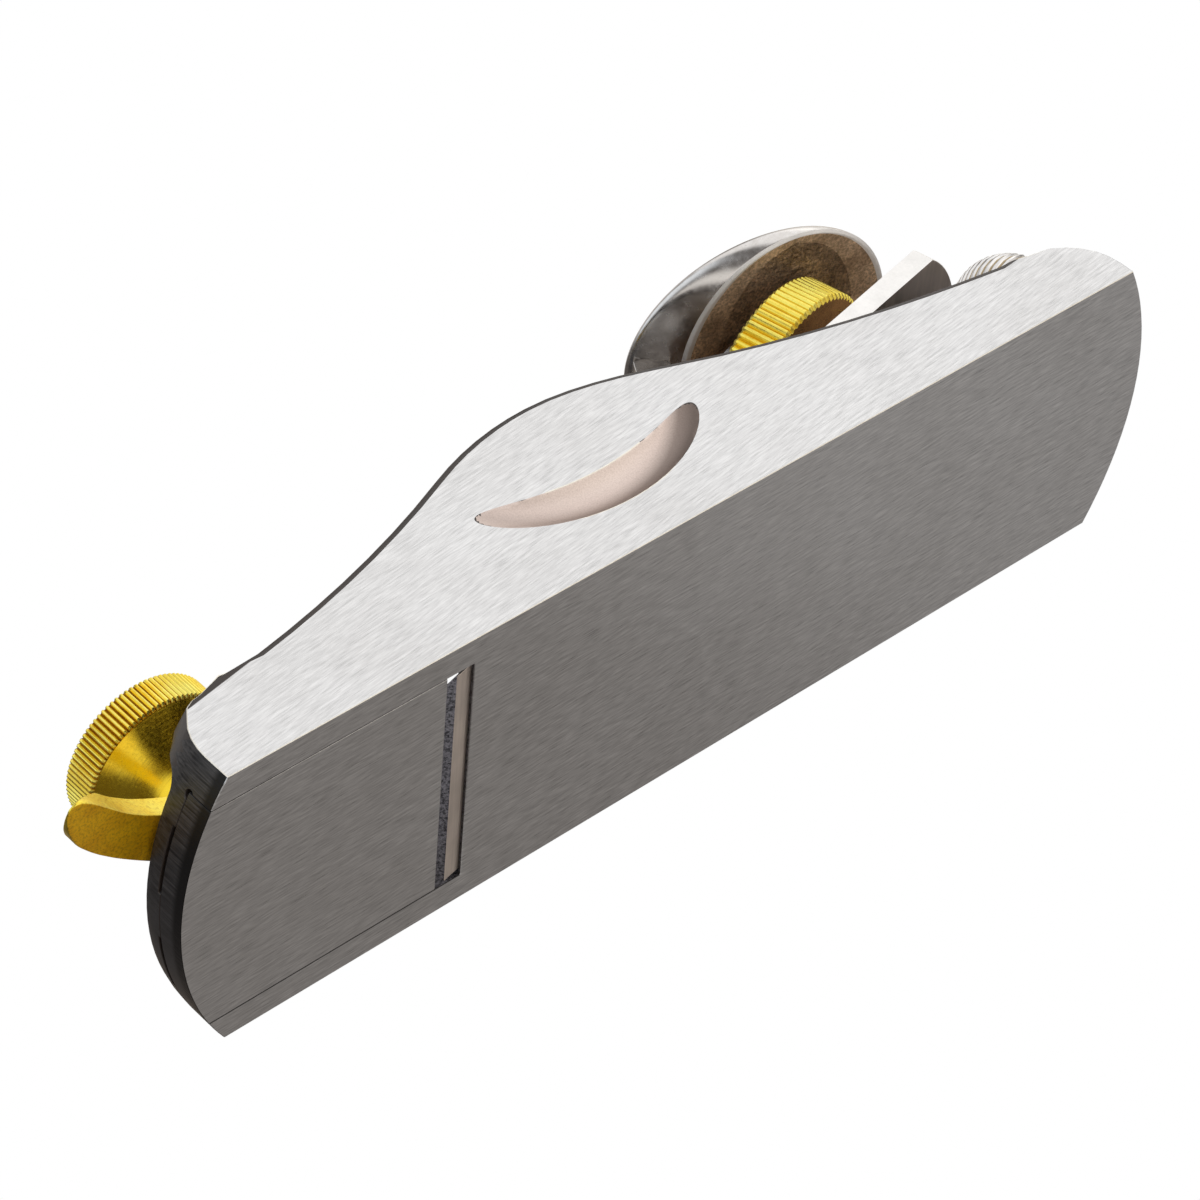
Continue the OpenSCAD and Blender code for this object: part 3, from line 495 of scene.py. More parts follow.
def cast_hollow(name="plated_hollow", deep=(0.11, 0.056, 0.022), light=(0.34, 0.185, 0.075), metal=0.35):
    """The unpolished underside and rim ledge of the palm rest: brown and grainy, plated thinly."""
    finish, tree, shader = new_finish(name, metal, 0.55)
    grain = noise(tree, piece_coordinates(tree), 2300.0, 4, 0.7)
    cloud = noise(tree, piece_coordinates(tree), 170.0, 4)
    tone = shades(tree, cloud, (0.35, deep), (0.65, light))
    glints = shades(tree, grain, (0.4, (0.62, 0.60, 0.56)), (0.66, (1.45, 1.38, 1.28)))
    wire(tree, blend_colours(tree, 1.0, tone, glints, "MULTIPLY"), shader, "Base Color")
    wire(tree, spread(tree, grain, 0.3, 0.7, 0.46, 0.66), shader, "Roughness")
    relief(tree, shader, grain, 0.03 * MM)
    return finish


# How far a pattern is stretched along X, Y and Z to become turning rings or grinding lines
TURNED = ((60, 60, 5200),)
CROSS_GROUND = ((2600, 90, 2600),)

finishes = {
    "cheek": ground_iron("ground_cheek", "Z", radians(6.7), 0.60, 0.88, 0.30),
    "sole": ground_iron("ground_sole", "Y", radians(1.5), 0.50, 0.84, 0.32),
    "arris": arris(),
    "recess": milled_recess_painted_shade(),
    "paint": painted_casting(),
    "toe_wall": filed_toe_wall(),
    "black": plain_black(),
    "throat": rough_casting(),
    "bed": machined_bed(),
    "brass": brass(),
    # Painted shade: all of the front knob but its knurled rim is a darker, redder brass, so its shaded cone
    # reads warm brown.
    "cone_brass_painted_shade": brass("cone_brass_painted_shade", (0.90, 0.54, 0.02), (1.0, 0.70, 0.05), 0.2, TURNED,
                        (0.97, 0.95, 0.9)),
    # Painted shade: the bottoms of the front knob's knurled grooves are a dark brown brass.
    "groove_brass_painted_shade": brass("groove_brass_painted_shade", (0.26, 0.10, 0.005), (0.50, 0.24, 0.015), 0.4),
    # Painted shade: darker brass in the bottoms of the spin wheel's knurled grooves.
    "wheel_groove_painted_shade": brass("wheel_groove_painted_shade", (0.72, 0.40, 0.015), (0.86, 0.55, 0.03), 0.34),
    "wheel_face": brass("wheel_face", (0.36, 0.20, 0.06), (0.60, 0.36, 0.13), 0.3),
    "lever_brass": brass("lever_brass", (0.95, 0.66, 0.03), (1.0, 0.84, 0.12), 0.34,
                         fleck=(0.78, 0.70, 0.45)),
    "lever_back": brass("lever_back", (0.82, 0.42, 0.004), (1.0, 0.58, 0.01), 0.42,
                        fleck=(0.66, 0.62, 0.5), metal=0.4),
    "bronze": brass("bronze", (0.42, 0.2, 0.06), (0.72, 0.4, 0.13), 0.34),
    "steel": steel(),
    "blade": steel("ground_blade", 0.74, 0.40, 0.6, CROSS_GROUND, warmth=(1, 0.88, 0.78)),
    "blade_edge": steel("blade_edge", 1.0, 0.36, fleck=0.93, warmth=(1, 0.985, 0.96)),
    "satin": satin_chrome(),
    "hollow": cast_hollow(),
    "ledge": cast_hollow("rim_ledge", (0.40, 0.29, 0.20), (0.74, 0.58, 0.43)),
    # Painted highlight: a near-white, partly diffuse band along the outer edge of the palm rest's rim.
    "rim_highlight_line": steel("rim_painted_highlight", 1.0, 0.42, 0.45, fleck=0.92, warmth=(1, 0.985, 0.96)),
    # Painted shade: darker, warm-tinted steel in the bottoms of the adjuster knob's grooves.
    "knob_groove_painted_shade": steel("knob_groove_painted_shade", 0.50, 0.4, warmth=(1, 0.80, 0.50)),
    "polished": steel("polished_knob", 0.88, 0.2),
    "black_steel": steel("black_steel", 0.05, 0.35),
}


# The body and its toe plate

def on_cheek(point):
    return abs(abs(point.y) - cheek_y) < near_zero


def is_ground_cheek(face):
    return abs(face.normal.y) > 0.999 and on_cheek(face.center)


def is_ground_sole(face):
    return face.normal.z < -0.999 and face.center.z < near_zero


def cheek_edge(edge, wanted):
    """Whether an edge lies between a cheek's outer face and a face whose normal is wanted."""
    normals = [face.normal for face in edge.link_faces]
    return (all(on_cheek(corner.co) for corner in edge.verts)
            and any(abs(n.y) > 0.999 for n in normals) and any(wanted(n) for n in normals))


def round_cheeks(body):
    """Rounds the top rims of the cheeks and the corners at the heel."""
    open_mesh(body, "EDGE")
    pick_edges(body, lambda edge: cheek_edge(edge, lambda n: abs(n.y) < 0.1 and n.z > 0.1))
    bpy.ops.transform.edge_bevelweight(value=1.0)
    pick_edges(body, lambda edge: cheek_edge(edge, lambda n: abs(n.y) < 0.1 and n.z > 0.1)
               and edge.verts[0].co.x + edge.verts[1].co.x < 2 * toe_run_x)
    bpy.ops.transform.edge_bevelweight(value=-0.5)
    close_mesh()
    rounded = body.modifiers.new("rounded", "BEVEL")
    rounded.width = rim_round
    rounded.segments = 5
    rounded.limit_method = "WEIGHT"
    rounded.use_clamp_overlap = False
    bpy.ops.object.modifier_apply(modifier=rounded.name)
    open_mesh(body, "EDGE")
    pick_edges(body, lambda edge: cheek_edge(edge, lambda n: n.x > 0.3 and n.z < 0.5))
    bpy.ops.mesh.bevel(offset=heel_round, segments=4, profile=0.5, affect="EDGES", clamp_overlap=True)
    close_mesh()


def in_recess(point):
    from_centre = Vector((point.x, 0, point.z)) - Vector(recess_centre)
    below_top = point.z < recess_top + recess_top_climb * max(point.x, 0)
    return from_centre.length < recess_reach + recess_margin and below_top


def body_finish(body):
    """Sorts the faces of the body by the finish that each one has."""
    wall_front = toe_x + 14 * MM
    bed_normal = Vector((-sin(bed_slope), 0, cos(bed_slope)))

    def is_recess(face):
        sunk = recess_floor_y < abs(face.center.y) < cheek_y - near_zero
        return abs(face.normal.y) > 0.5 and sunk and in_recess(face.center)

    def is_toe_wall(face):
        return face.center.x < wall_front and face.normal.x < -0.3 and abs(face.normal.z) < 0.35

    def is_inner_wall(face):
        return abs(face.normal.y) > 0.95 and abs(face.center.y) < cheek_inner_y and face.center.z > 2 * MM

    def is_throat(face):
        near_mouth = mouth_front_x - 6 * MM < face.center.x < edge_x + 2.9 * MM and face.center.z < 12 * MM
        return near_mouth and abs(face.center.y) < channel_y + 0.2 * MM and abs(face.normal.z) < 0.9

    def is_bed(face):
        before_mouth = face.center.x < mouth_front_x and 3 * MM < face.center.z < 16 * MM
        on_deck = face.normal.z > 0.99 and before_mouth
        return abs(face.center.y) < channel_y and (on_deck or face.normal.dot(bed_normal) > 0.999)

    give_finish(body, finishes["cheek"], is_ground_cheek)
    give_finish(body, finishes["sole"], is_ground_sole)
    give_finish(body, finishes["recess"], is_recess)
    give_finish(body, finishes["toe_wall"], is_toe_wall)
    give_finish(body, finishes["throat"], lambda face: is_throat(face) or is_inner_wall(face))
    give_finish(body, finishes["bed"], is_bed)


def bright_arris(body, slot):
    """Keeps the arris finish only along the outside of the cheeks."""
    for face in body.data.polygons:
        outside = abs(face.center.y) > cheek_y - 0.16 * MM
        if face.material_index == slot and not outside:
            low = face.center.z < 0.2 * MM
            seam = low and face.center.x < mouth_front_x and abs(abs(face.center.y) - channel_y) < 0.4 * MM
            hollowed = in_recess(face.center) and abs(face.center.y) > cheek_back_y
            if seam:
                name = "blackened_plate"
            elif low:
                name = "ground_sole"
            elif hollowed:
                name = "frosted_recess_painted_shade"
            else:
                name = "painted_casting"
            face.material_index = body.data.materials.find(name)


def make_body():
    """The casting, with its toe corners raised, its rims rounded and its outer faces kept flat."""
    body = worked_copy("body")
    open_mesh(body, "VERT")
    pick_corners(body, lambda point: point.x < toe_corner_x and point.z > toe_corner_z
                 and abs(point.y) > cheek_inner_y)
    bpy.ops.transform.translate(value=(0, 0, toe_corner_lift))
    close_mesh()
    round_cheeks(body)
    give_finish(body, finishes["paint"])
    give_finish(body, finishes["black"], lambda face: False)
    body_finish(body)
    slot = give_finish(body, finishes["arris"], lambda face: False)
    ease_edges(body, arris_width, 40, 1, slot)
    bright_arris(body, slot)
    for side in (cheek_y, -cheek_y):
        open_mesh(body, "VERT")
        pick_corners(body, lambda point: point.y * side > cheek_y * cheek_y)
        bpy.ops.transform.resize(value=(1, 0, 1), center_override=(0, side, 0))
        close_mesh()
    polish_shading(body)


def make_toe_plate():
    """The plate is ground below, blackened in front and machined above."""
    plate = worked_copy("toe_plate")
    give_finish(plate, finishes["bed"])
    ease_edges(plate, 0.06 * MM, 40, 1)
    give_finish(plate, finishes["sole"], is_ground_sole)
    give_finish(plate, finishes["toe_wall"], lambda f: f.normal.x < -0.3 and f.center.x < toe_x + 9 * MM)
    give_finish(plate, finishes["throat"],
                lambda f: f.normal.x > 0.9 and f.center.x > mouth_front_x - near_zero)
    give_finish(plate, finishes["black"], lambda f: abs(f.normal.y) > 0.9 and abs(f.center.y) > 17 * MM)
    polish_shading(plate)


# Turned and knurled pieces

def turned(name, outline, steps):
    """A closed outline of radius and height in millimetres, spun round the Z axis."""
    bpy.ops.object.select_all(action="DESELECT")
    bpy.ops.mesh.primitive_plane_add(size=MM)
    piece = bpy.context.active_object
    piece.name = name
    bpy.ops.object.mode_set(mode="EDIT")
    bpy.ops.mesh.select_mode(type="VERT")
    bpy.ops.mesh.select_all(action="SELECT")
    bpy.ops.mesh.merge(type="CENTER")
    points = [Vector((radius * MM, 0, height * MM)) for radius, height in outline]
    bpy.ops.transform.translate(value=points[0])
    for start, end in zip(points, points[1:] + points[:1]):
        bpy.ops.mesh.extrude_region_move(TRANSFORM_OT_translate={"value": end - start})
    bpy.ops.mesh.select_all(action="SELECT")
    bpy.ops.mesh.remove_doubles(threshold=0.001 * MM)
    bpy.ops.mesh.spin(steps=steps, angle=2 * pi, center=(0, 0, 0), axis=(0, 0, 1))
    bpy.ops.mesh.select_all(action="SELECT")
    bpy.ops.mesh.remove_doubles(threshold=0.001 * MM)
    bpy.ops.mesh.normals_make_consistent(inside=False)
    close_mesh()
    return piece


def press_grooves(piece, ridges, outer, depth, least, low, high):
    """Presses straight grooves into the rim of a turned piece, six corners to a ridge."""
    steps = ridges * 6
    for phases, share in (((0, 2), 0.1), ((3, 5), 0.75), ((4,), 1.0)):
        open_mesh(piece, "VERT")

        def in_groove(point, phases=phases):
            phase = round(atan2(point.y, point.x) / (2 * pi) * steps) % 6
            return phase in phases and point.xy.length > least * MM and low * MM < point.z < high * MM

        pick_corners(piece, in_groove)
        factor = 1 - share * depth / outer
        bpy.ops.transform.resize(value=(factor, factor, 1), center_override=(0, 0, 0))
        close_mesh()


def groove_faces(ridges, least, low, high):
    """Picks the faces in the bottom of the pressed grooves."""
    def wanted(face):
        phase = atan2(face.center.y, face.center.x) / (2 * pi) * ridges * 6 % 6
        return (2.9 < phase < 5.1 and face.center.xy.length > least * MM
                and low * MM < face.center.z < high * MM)
    return wanted


def put_in_place(piece, place, tilt):
    """Turns a piece about Y and moves it to its place, in its mesh."""
    piece.rotation_euler = (0, tilt, 0)
    piece.location = place
    select_only(piece)
    bpy.ops.object.transform_apply(location=True, rotation=True, scale=False)


def make_front_knob():
    """Turned foot, waist and hollow cone under a knurled rim, with a dished top."""
    rim, depth, height, rim_low, hole = 10.64, 0.36, 15.28, 10.5, 4.06
    foot, waist = 6.6, 5.5
    sweep = [(waist + (foot - waist) * (1 - t) ** 2, 1.2 + 2.6 * t) for t in (0.2, 0.4, 0.6, 0.8, 1.0)]
    cone = [(waist + (rim - depth - 0.25 - waist) * t ** 1.35, 3.8 + (rim_low - 3.8) * t)
            for t in (0.12, 0.25, 0.4, 0.55, 0.7, 0.85, 1.0)]
    dish = [(8.3 * (1 - t), height - 0.5 - 0.9 * sin(radians(90 * t))) for t in (0.15, 0.35, 0.6, 0.8, 1.0)]
    base = [(hole, 0), (foot - 0.2, 0), (foot, 0.2), (foot, 1.2)]
    band = [(rim - 0.3, rim_low), (rim, rim_low + 0.25), (rim, height - 0.25), (rim - 0.3, height),
            (8.6, height), (8.3, height - 0.3)]
    bore = [(0, height - 2.4), (hole, height - 2.4)]
    knob = turned("front_knob_finished", base + sweep + cone + band + dish + bore, 540)
    least = rim - 0.36
    press_grooves(knob, 90, rim, depth, least, rim_low - 0.05, height + 0.05)
    give_finish(knob, finishes["brass"])
    # Everything below the rim and inside the dish takes the painted shade.
    give_finish(knob, finishes["cone_brass_painted_shade"], lambda face: face.center.z < (rim_low - 0.01) * MM
                or face.center.xy.length < (least - depth) * MM)
    # The groove bottoms take the painted shade.
    give_finish(knob, finishes["groove_brass_painted_shade"], groove_faces(90, least - depth, rim_low + 0.01, height))
    place = Vector((stud_x, 0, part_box("front_knob")[0].z))
    finish_turned(knob, "front_knob", place, 0)


def finish_turned(piece, node, place, tilt):
    put_in_place(piece, place, tilt)
    stand_for(piece, node)
    polish_shading(piece, 28)


def make_spin_wheel():
    """Knurled wheel with a shallow turned recess in both faces."""
    rim, depth, thick, hole, hub, lip = 14.38, 0.36, 6.2, 3.03, 6.0, 12.0
    wheel = turned("spin_wheel_finished", [
        (hole, 0.15), (hole + 0.15, 0), (hub - 0.15, 0), (hub, 0.15), (hub, 0.5), (lip, 0.5), (lip, 0.12),
        (lip + 0.12, 0), (rim - 0.45, 0), (rim, 0.45), (rim, thick - 0.45), (rim - 0.45, thick),
        (lip + 0.12, thick), (lip, thick - 0.12), (lip, thick - 0.5), (hub, thick - 0.5),
        (hub, thick - 0.15), (hub - 0.15, thick), (hole + 0.15, thick), (hole, thick - 0.15)], 504)
    press_grooves(wheel, 84, rim, depth, rim - 0.5, -0.05, thick + 0.05)
    give_finish(wheel, finishes["brass"])
    give_finish(wheel, finishes["wheel_face"], lambda face: abs(face.normal.z) > 0.9)
    # The groove bottoms take the painted shade.
    give_finish(wheel, finishes["wheel_groove_painted_shade"], groove_faces(84, rim - depth - 0.1, 0, thick))
    finish_turned(wheel, "spin_wheel", along_bed(wheel_u, 0, wheel_low_w), -bed_slope)


def make_adjuster_knob():
    """Barrel with straight ridges, a neck in front and a dished rear face."""
    rim, depth, long, drop, hole, neck, neck_l = 8.97, 0.34, 8.0, 1.3, 2.53, 3.6, 1.9
    front = [(hole, 0), (neck - 0.15, 0), (neck, 0.15), (neck, neck_l), (rim - drop - 0.45, neck_l)]
    crown = [(rim - drop * (2 * t - 1) ** 2, neck_l + long * t)
             for t in (0.04, 0.15, 0.3, 0.5, 0.7, 0.85, 0.96)]
    rear = [(rim - drop - 0.45, neck_l + long), (rim - drop - 1.6, neck_l + long),
            (rim - drop - 1.75, neck_l + long - 0.7), (hole, neck_l + long - 0.7)]
    knob = turned("adjuster_knob_finished", front + crown + rear, 288)
    press_grooves(knob, 48, rim, depth, rim - drop - 0.42, neck_l - 0.05, neck_l + long + 0.05)
    give_finish(knob, finishes["polished"])
    # The groove bottoms take the painted shade.
    give_finish(knob, finishes["knob_groove_painted_shade"], groove_faces(48, 6.9, neck_l + 0.1, neck_l + long - 0.1))
    finish_turned(knob, "adjuster_knob", along_bed(adjuster_u, 0, -adjuster_drop), pi / 2 - bed_slope)


# The lever cap

def shell(name, rings, pole):
    """An open egg-shaped shell. Rings are (reach to the toe, reach to the heel, half width, height)."""
    bpy.ops.object.select_all(action="DESELECT")
    toe, heel, wide, up = rings[0]
    bpy.ops.mesh.primitive_circle_add(vertices=32, radius=MM, location=(0, 0, 0))
    piece = bpy.context.active_object
    piece.name = name
    bpy.ops.object.mode_set(mode="EDIT")
    bpy.ops.mesh.select_mode(type="VERT")
    bpy.ops.mesh.select_all(action="SELECT")
    bpy.ops.transform.resize(value=((toe + heel) / 2, wide, 1), center_override=(0, 0, 0))
    bpy.ops.transform.translate(value=((heel - toe) / 2 * MM, 0, up * MM))
    for before, after in zip(rings, rings[1:]):
        middle = Vector(((before[1] - before[0]) / 2 * MM, 0, before[3] * MM))
        move = Vector(((after[1] - after[0]) / 2 * MM, 0, after[3] * MM)) - middle
        bpy.ops.mesh.extrude_region_move(TRANSFORM_OT_translate={"value": (0, 0, 0)})
        longer = (after[0] + after[1]) / (before[0] + before[1])
        bpy.ops.transform.resize(value=(longer, after[2] / before[2], 1), center_override=middle)
        bpy.ops.transform.translate(value=move)
    bpy.ops.mesh.extrude_region_move(TRANSFORM_OT_translate={"value": (0, 0, 0)})
    bpy.ops.mesh.merge(type="CENTER")
    toe, heel, wide, up = rings[-1]
    bpy.ops.transform.translate(value=((pole[0] - (heel - toe) / 2) * MM, 0, (pole[1] - up) * MM))
    close_mesh()
    return piece


def make_palm_rest():
    """The hollow palm rest, rim downwards, in the frame of its own rim."""
    dome = ((16.2, 16.2, 17.6, 0), (16.75, 16.65, 18.05, 0.35), (18.8, 16.5, 18.1, 1.4),
            (21.3, 15.6, 17.8, 2.6), (23.2, 13.6, 16.7, 3.6), (23.2, 10.6, 14.8, 4.4),
            (21.5, 5.6, 11.4, 5.0), (18.4, -2.0, 6.6, 5.5))
    bowl = ((14.9, 14.9, 16.3, 0), (15.6, 14.4, 16.3, 0.6), (17.0, 12.8, 15.8, 1.6),
            (17.6, 10.0, 14.0, 2.5), (17.0, 6.0, 10.8, 3.2), (15.4, 0.0, 6.4, 3.7))
    outside = shell("lever_cap_rest", dome, (-11, 5.7))
    inside = shell("hollow", bowl, (-8, 3.9))
    give_finish(outside, finishes["satin"])
    give_finish(inside, finishes["satin"])
    give_finish(inside, finishes["hollow"])
    select_only(outside)
    inside.select_set(True)
    bpy.ops.object.join()
    outside.data.materials.append(finishes["ledge"])
    outside.data.materials.append(finishes["rim_highlight_line"])
    open_mesh(outside, "EDGE")
    pick_edges(outside, lambda edge: len(edge.link_faces) == 1)
    bpy.ops.mesh.bridge_edge_loops()
    bpy.ops.mesh.select_all(action="SELECT")
    bpy.ops.mesh.normals_make_consistent(inside=False)
    pick_faces(outside, lambda face: all(abs(c.co.z) < near_zero for c in face.verts))
    outside.active_material_index = 2
    bpy.ops.object.material_slot_assign()
    # The band of the outer shell next to the rim takes the painted highlight.
    pick_faces(outside, lambda face: face.material_index == 0
               and all(c.co.z < 0.4 * MM for c in face.verts))
    outside.active_material_index = 3
    bpy.ops.object.material_slot_assign()
    pick_edges(outside, lambda edge: all(abs(c.co.z) < near_zero for c in edge.verts)
               and any(f.calc_center_median().z > near_zero for f in edge.link_faces))
    bpy.ops.transform.edge_crease(value=0.93)
    pick_edges(outside, lambda edge: all(abs(c.co.z - 0.35 * MM) < near_zero for c in edge.verts))
    bpy.ops.transform.edge_crease(value=0.8)
    close_mesh()
    rounded = outside.modifiers.new("rounded", "SUBSURF")
    rounded.levels = rounded.render_levels = 3
    bpy.ops.object.modifier_apply(modifier=rounded.name)
    put_in_place(outside, rim_middle, rim_tilt)
    return outside


def make_cap_neck():
    """The lever cap's plate, neck and boss, cut at the rim, led into its wall and narrowed towards it."""
    neck = worked_copy("lever_cap")
    give_finish(neck, finishes["satin"])
    give_finish(neck, finishes["hollow"], lambda f: f.normal.z < -0.2 and f.normal.x > -0.2)
    up = Vector((sin(rim_tilt), 0, cos(rim_tilt)))
    open_mesh(neck, "FACE")
    bpy.ops.mesh.select_all(action="SELECT")
    below_rim = rim_middle - up * 0.25 * MM
    bpy.ops.mesh.bisect(plane_co=below_rim, plane_no=up, use_fill=True, clear_outer=True)
    into_wall = up * 2.9 * MM + Vector((1.2 * MM, 0, 0))
    bpy.ops.mesh.extrude_region_move(TRANSFORM_OT_translate={"value": into_wall})
    for level in range(16, 38, 2):
        bpy.ops.mesh.select_all(action="SELECT")
        bpy.ops.mesh.bisect(plane_co=(0, 0, level * MM), plane_no=(0, 0, 1))
    pick_corners(neck, lambda point: (point - rim_middle).dot(up) > -0.4 * MM and point.x < 35 * MM)
    bpy.ops.transform.resize(value=(1, 0.24, 1), center_override=(0, 0, 0), use_proportional_edit=True,
                             use_proportional_connected=True, proportional_edit_falloff="SMOOTH",
                             proportional_size=17 * MM)
    close_mesh()
    give_finish(neck, finishes["hollow"], lambda face: face.center.x > 35.2 * MM)
    return neck


def make_lever_cap():
    """The neck's end lies inside the wall of the palm rest."""
    cap = make_cap_neck()
    ease_edges(cap, 0.12 * MM, 50, 2)
    rest = make_palm_rest()
    select_only(cap)
    rest.select_set(True)
    bpy.ops.object.join()
    polish_shading(cap, 40)


# The mouth lever and the blade

def plate_from_outline(name, outline, low, thick):
    """A closed outline of X and Y in millimetres, drawn by its corners, filled, rounded off and raised."""
    bpy.ops.object.select_all(action="DESELECT")
    bpy.ops.mesh.primitive_plane_add(size=MM)
    piece = bpy.context.active_object
    piece.name = name
    bpy.ops.object.mode_set(mode="EDIT")
    bpy.ops.mesh.select_mode(type="VERT")
    bpy.ops.mesh.select_all(action="SELECT")
    bpy.ops.mesh.merge(type="CENTER")
    points = [Vector((x, y, low)) * MM for x, y in outline]
    bpy.ops.transform.translate(value=points[0])
    for start, end in zip(points, points[1:] + points[:1]):
        bpy.ops.mesh.extrude_region_move(TRANSFORM_OT_translate={"value": end - start})
    bpy.ops.mesh.select_all(action="SELECT")
    bpy.ops.mesh.remove_doubles(threshold=0.001 * MM)
    bpy.ops.mesh.edge_face_add()
    bpy.ops.mesh.bevel(offset_type="PERCENT", offset_pct=30, segments=3, affect="VERTICES")
    bpy.ops.mesh.select_all(action="SELECT")
    bpy.ops.mesh.extrude_region_move(TRANSFORM_OT_translate={"value": (0, 0, thick * MM)})
    bpy.ops.mesh.select_all(action="SELECT")
    bpy.ops.mesh.normals_make_consistent(inside=False)
    return piece


def make_lever():
    """The hub with its cam, and a tongue that thins towards its round tip."""
    hub = worked_copy("eccentric_lever")
    tongue_way = Vector((-cos(lever_turn), -sin(lever_turn), 0))
    open_mesh(hub, "FACE")
    bpy.ops.mesh.select_all(action="SELECT")
    bpy.ops.mesh.bisect(plane_co=Vector((stud_x, 0, 0)) + tongue_way * 8.2 * MM, plane_no=tongue_way,
                        use_fill=True, clear_outer=True)
    close_mesh()
    ease_edges(hub, 0.2 * MM, 50, 2)
    near_side = [(-69.5, -7.8), (-73.2, -8.9), (-77.0, -10.8), (-80.0, -12.6), (-82.9, -14.8),
                 (-85.6, -17.5), (-87.6, -19.4), (-89.3, -20.55)]
    far_side = [(-90.7, -20.45), (-91.25, -18.9), (-90.9, -16.4), (-89.9, -13.9), (-87.4, -11.0),
                (-84.5, -8.4), (-81.4, -6.0), (-77.5, -3.2), (-73.5, -1.0)]
    tongue = plate_from_outline("tongue", near_side + far_side, lever_low, 3.5)
    thin_from = Vector((-91.2 * MM, -19.4 * MM, (lever_low + 0.3) * MM))
    bpy.ops.mesh.select_all(action="SELECT")
    bpy.ops.mesh.bisect(plane_co=thin_from, plane_no=Vector((0, 0, 1)) + tongue_way * 0.48,
                        use_fill=True, clear_outer=True)
    close_mesh()
    ease_edges(tongue, 0.22 * MM, 50, 2)
    give_finish(hub, finishes["lever_brass"])
    give_finish(tongue, finishes["lever_brass"])
    give_finish(tongue, finishes["lever_back"], lambda face: face.normal.z < -0.9)
    select_only(hub)
    tongue.select_set(True)
    bpy.ops.object.join()
    polish_shading(hub, 40)


def make_blade():
    """Ground faces with faint marks across, and brighter sides."""
    blade = worked_copy("blade")
    give_finish(blade, finishes["blade"])
    ease_edges(blade, 0.1 * MM, 20)
    give_finish(blade, finishes["blade_edge"], lambda face: abs(face.normal.y) > 0.7 or face.normal.x > 0.9)
    polish_shading(blade)


# Smaller pieces

def make_simple(node, finish, width, angle=35):
    piece = worked_copy(node)
    give_finish(piece, finishes[finish])
    ease_edges(piece, width, angle)
    polish_shading(piece)
    return piece


make_body()
make_toe_plate()
make_front_knob()
make_spin_wheel()
make_adjuster_knob()
make_lever_cap()
make_lever()
make_simple("knob_washer", "steel", 0.1 * MM)
make_simple("front_stud", "steel", 0.1 * MM)
make_blade()
make_simple("cap_screw", "steel", 0.1 * MM)
make_simple("thrust_pad", "bronze", 0.08 * MM)
make_simple("spindle", "steel", 0.08 * MM)
make_simple("adjusting_screw", "steel", 0.08 * MM)
make_simple("knob_set_screw", "black_steel", 0.04 * MM)
make_simple("retaining_ring", "steel", 0.05 * MM)
make_simple("adjuster_bush", "bronze", 0.05 * MM)
make_simple("thrust_washer", "bronze", 0.05 * MM)
make_simple("adjuster_carriage", "bronze", 0.15 * MM)
make_simple("carriage_dog", "steel", 0.08 * MM)


# Stage, light and camera

def make_floor():
    bpy.ops.mesh.primitive_plane_add(size=3, location=(0, 0, -0.2 * MM))
    floor = bpy.context.active_object
    floor.name = "pale_floor"
    finish, tree, shader = new_finish("pale_floor", 0.0, 0.9, (0.9, 0.9, 0.89))
    geometry = put(tree, "ShaderNodeNewGeometry")
    clear = put(tree, "ShaderNodeBsdfTransparent")
    one_sided = put(tree, "ShaderNodeMixShader")
    output = tree.nodes["Material Output"]
    tree.links.new(geometry.outputs["Backfacing"], one_sided.inputs[0])
    tree.links.new(shader.outputs[0], one_sided.inputs[1])
    tree.links.new(clear.outputs[0], one_sided.inputs[2])
    tree.links.new(one_sided.outputs[0], output.inputs["Surface"])
    floor.data.materials.append(finish)
    floor.visible_glossy = False
    floor.visible_diffuse = False
    floor.visible_shadow = False


def glow(tree, direction, towards, faded, full, colour):
    """Light that comes from round a direction: its colour at full, nothing from faded outwards."""
    facing = put(tree, "ShaderNodeVectorMath", operation="DOT_PRODUCT")
    tree.links.new(direction, facing.inputs[0])
    facing.inputs[1].default_value = Vector(towards).normalized()
    share = put(tree, "ShaderNodeMapRange", {"From Min": faded, "From Max": full},
                interpolation_type="SMOOTHSTEP")
    tree.links.new(facing.outputs["Value"], share.inputs["Value"])
    return blend_colours(tree, share.outputs["Result"], (0.0, 0.0, 0.0), colour)


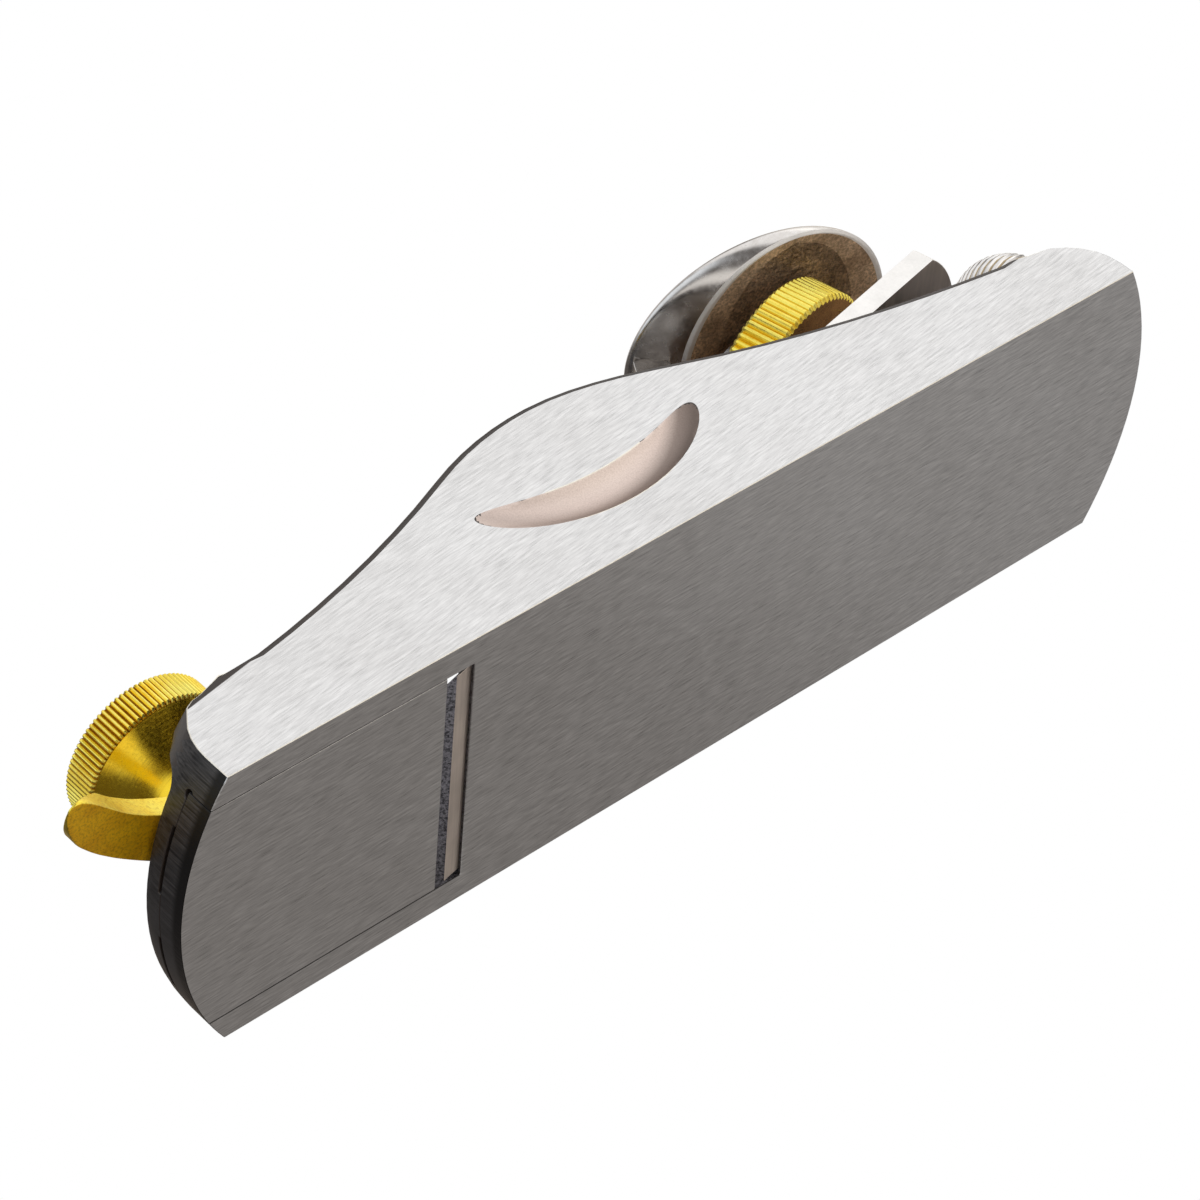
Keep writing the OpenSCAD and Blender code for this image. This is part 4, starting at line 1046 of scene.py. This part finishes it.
def make_sky():
    """White to the camera. To the piece, a big pale tent on its near side and a dim room behind."""
    world = bpy.data.worlds.new("studio")
    world.use_nodes = True
    bpy.context.scene.world = world
    tree = world.node_tree
    tree.nodes.clear()
    direction = put(tree, "ShaderNodeTexCoord").outputs["Generated"]
    total = glow(tree, direction, (0, 0, 1), -1.0, -0.9, (0.11, 0.10, 0.095))
    near_tent = ((0.50, -0.72, 0.48), 0.64, 0.89, (0.95, 0.95, 0.95))
    toe_tent = ((-0.75, -0.60, 0.25), 0.68, 0.92, (0.84, 0.90, 0.96))
    low_tent = ((0.55, -0.42, -0.70), 0.55, 0.85, (0.72, 0.68, 0.64))
    far_wall = ((0.52, 0.68, 0.51), 0.70, 0.95, (0.12, 0.09, 0.065))
    far_window = ((0.52, 0.68, 0.51), 0.90, 0.99, (0.36, 0.28, 0.20))
    heel_panel = ((0.86, 0.00, 0.51), 0.88, 0.97, (0.70, 0.69, 0.66))
    table_gleam = ((-0.44, -0.28, -0.83), 0.86, 0.97, (0.9, 0.88, 0.85))
    low_far_gleam = ((0.34, 0.72, -0.60), 0.92, 0.99, (0.16, 0.15, 0.14))
    ceiling = ((-0.10, 0.10, 1.0), 0.80, 0.97, (0.55, 0.54, 0.53))
    for lit in (near_tent, toe_tent, low_tent, far_wall, far_window, heel_panel, table_gleam,
                low_far_gleam, ceiling):
        total = blend_colours(tree, 1.0, total, glow(tree, direction, *lit), "ADD")
    light = put(tree, "ShaderNodeBackground", {"Strength": 1.0})
    tree.links.new(total, light.inputs["Color"])
    white = put(tree, "ShaderNodeBackground", {"Color": (1, 1, 1, 1), "Strength": 1.0})
    path = put(tree, "ShaderNodeLightPath")
    seen = put(tree, "ShaderNodeMixShader")
    output = put(tree, "ShaderNodeOutputWorld")
    tree.links.new(path.outputs["Is Camera Ray"], seen.inputs[0])
    tree.links.new(light.outputs[0], seen.inputs[1])
    tree.links.new(white.outputs[0], seen.inputs[2])
    tree.links.new(seen.outputs[0], output.inputs["Surface"])


def soft_light(name, place, size, power):
    light = bpy.data.lights.new(name, "AREA")
    light.shape = "DISK"
    light.size = size
    light.energy = power
    lamp = bpy.data.objects.new(name, light)
    bpy.context.scene.collection.objects.link(lamp)
    lamp.location = place
    lamp.rotation_euler = (-Vector(place)).to_track_quat("-Z", "Y").to_euler()
    lamp.visible_camera = False


def make_camera():
    """The photograph's view, from below and from the toe side of the near cheek."""
    camera = bpy.data.cameras.new("photo_view")
    camera.lens = 123.73
    camera.sensor_width = 36
    camera.clip_start = 0.01
    seen_from = bpy.data.objects.new("photo_view", camera)
    bpy.context.scene.collection.objects.link(seen_from)
    seen_from.location = (-0.27678, -0.35300, -0.25230)
    seen_from.rotation_euler = (radians(133.3201), radians(41.8024), radians(-5.3915))
    bpy.context.scene.camera = seen_from


make_floor()
make_sky()
soft_light("heel_softbox", (0.25, 0.11, -0.18), 0.28, 0.034)
make_camera()
bpy.context.scene.view_settings.view_transform = "Standard"
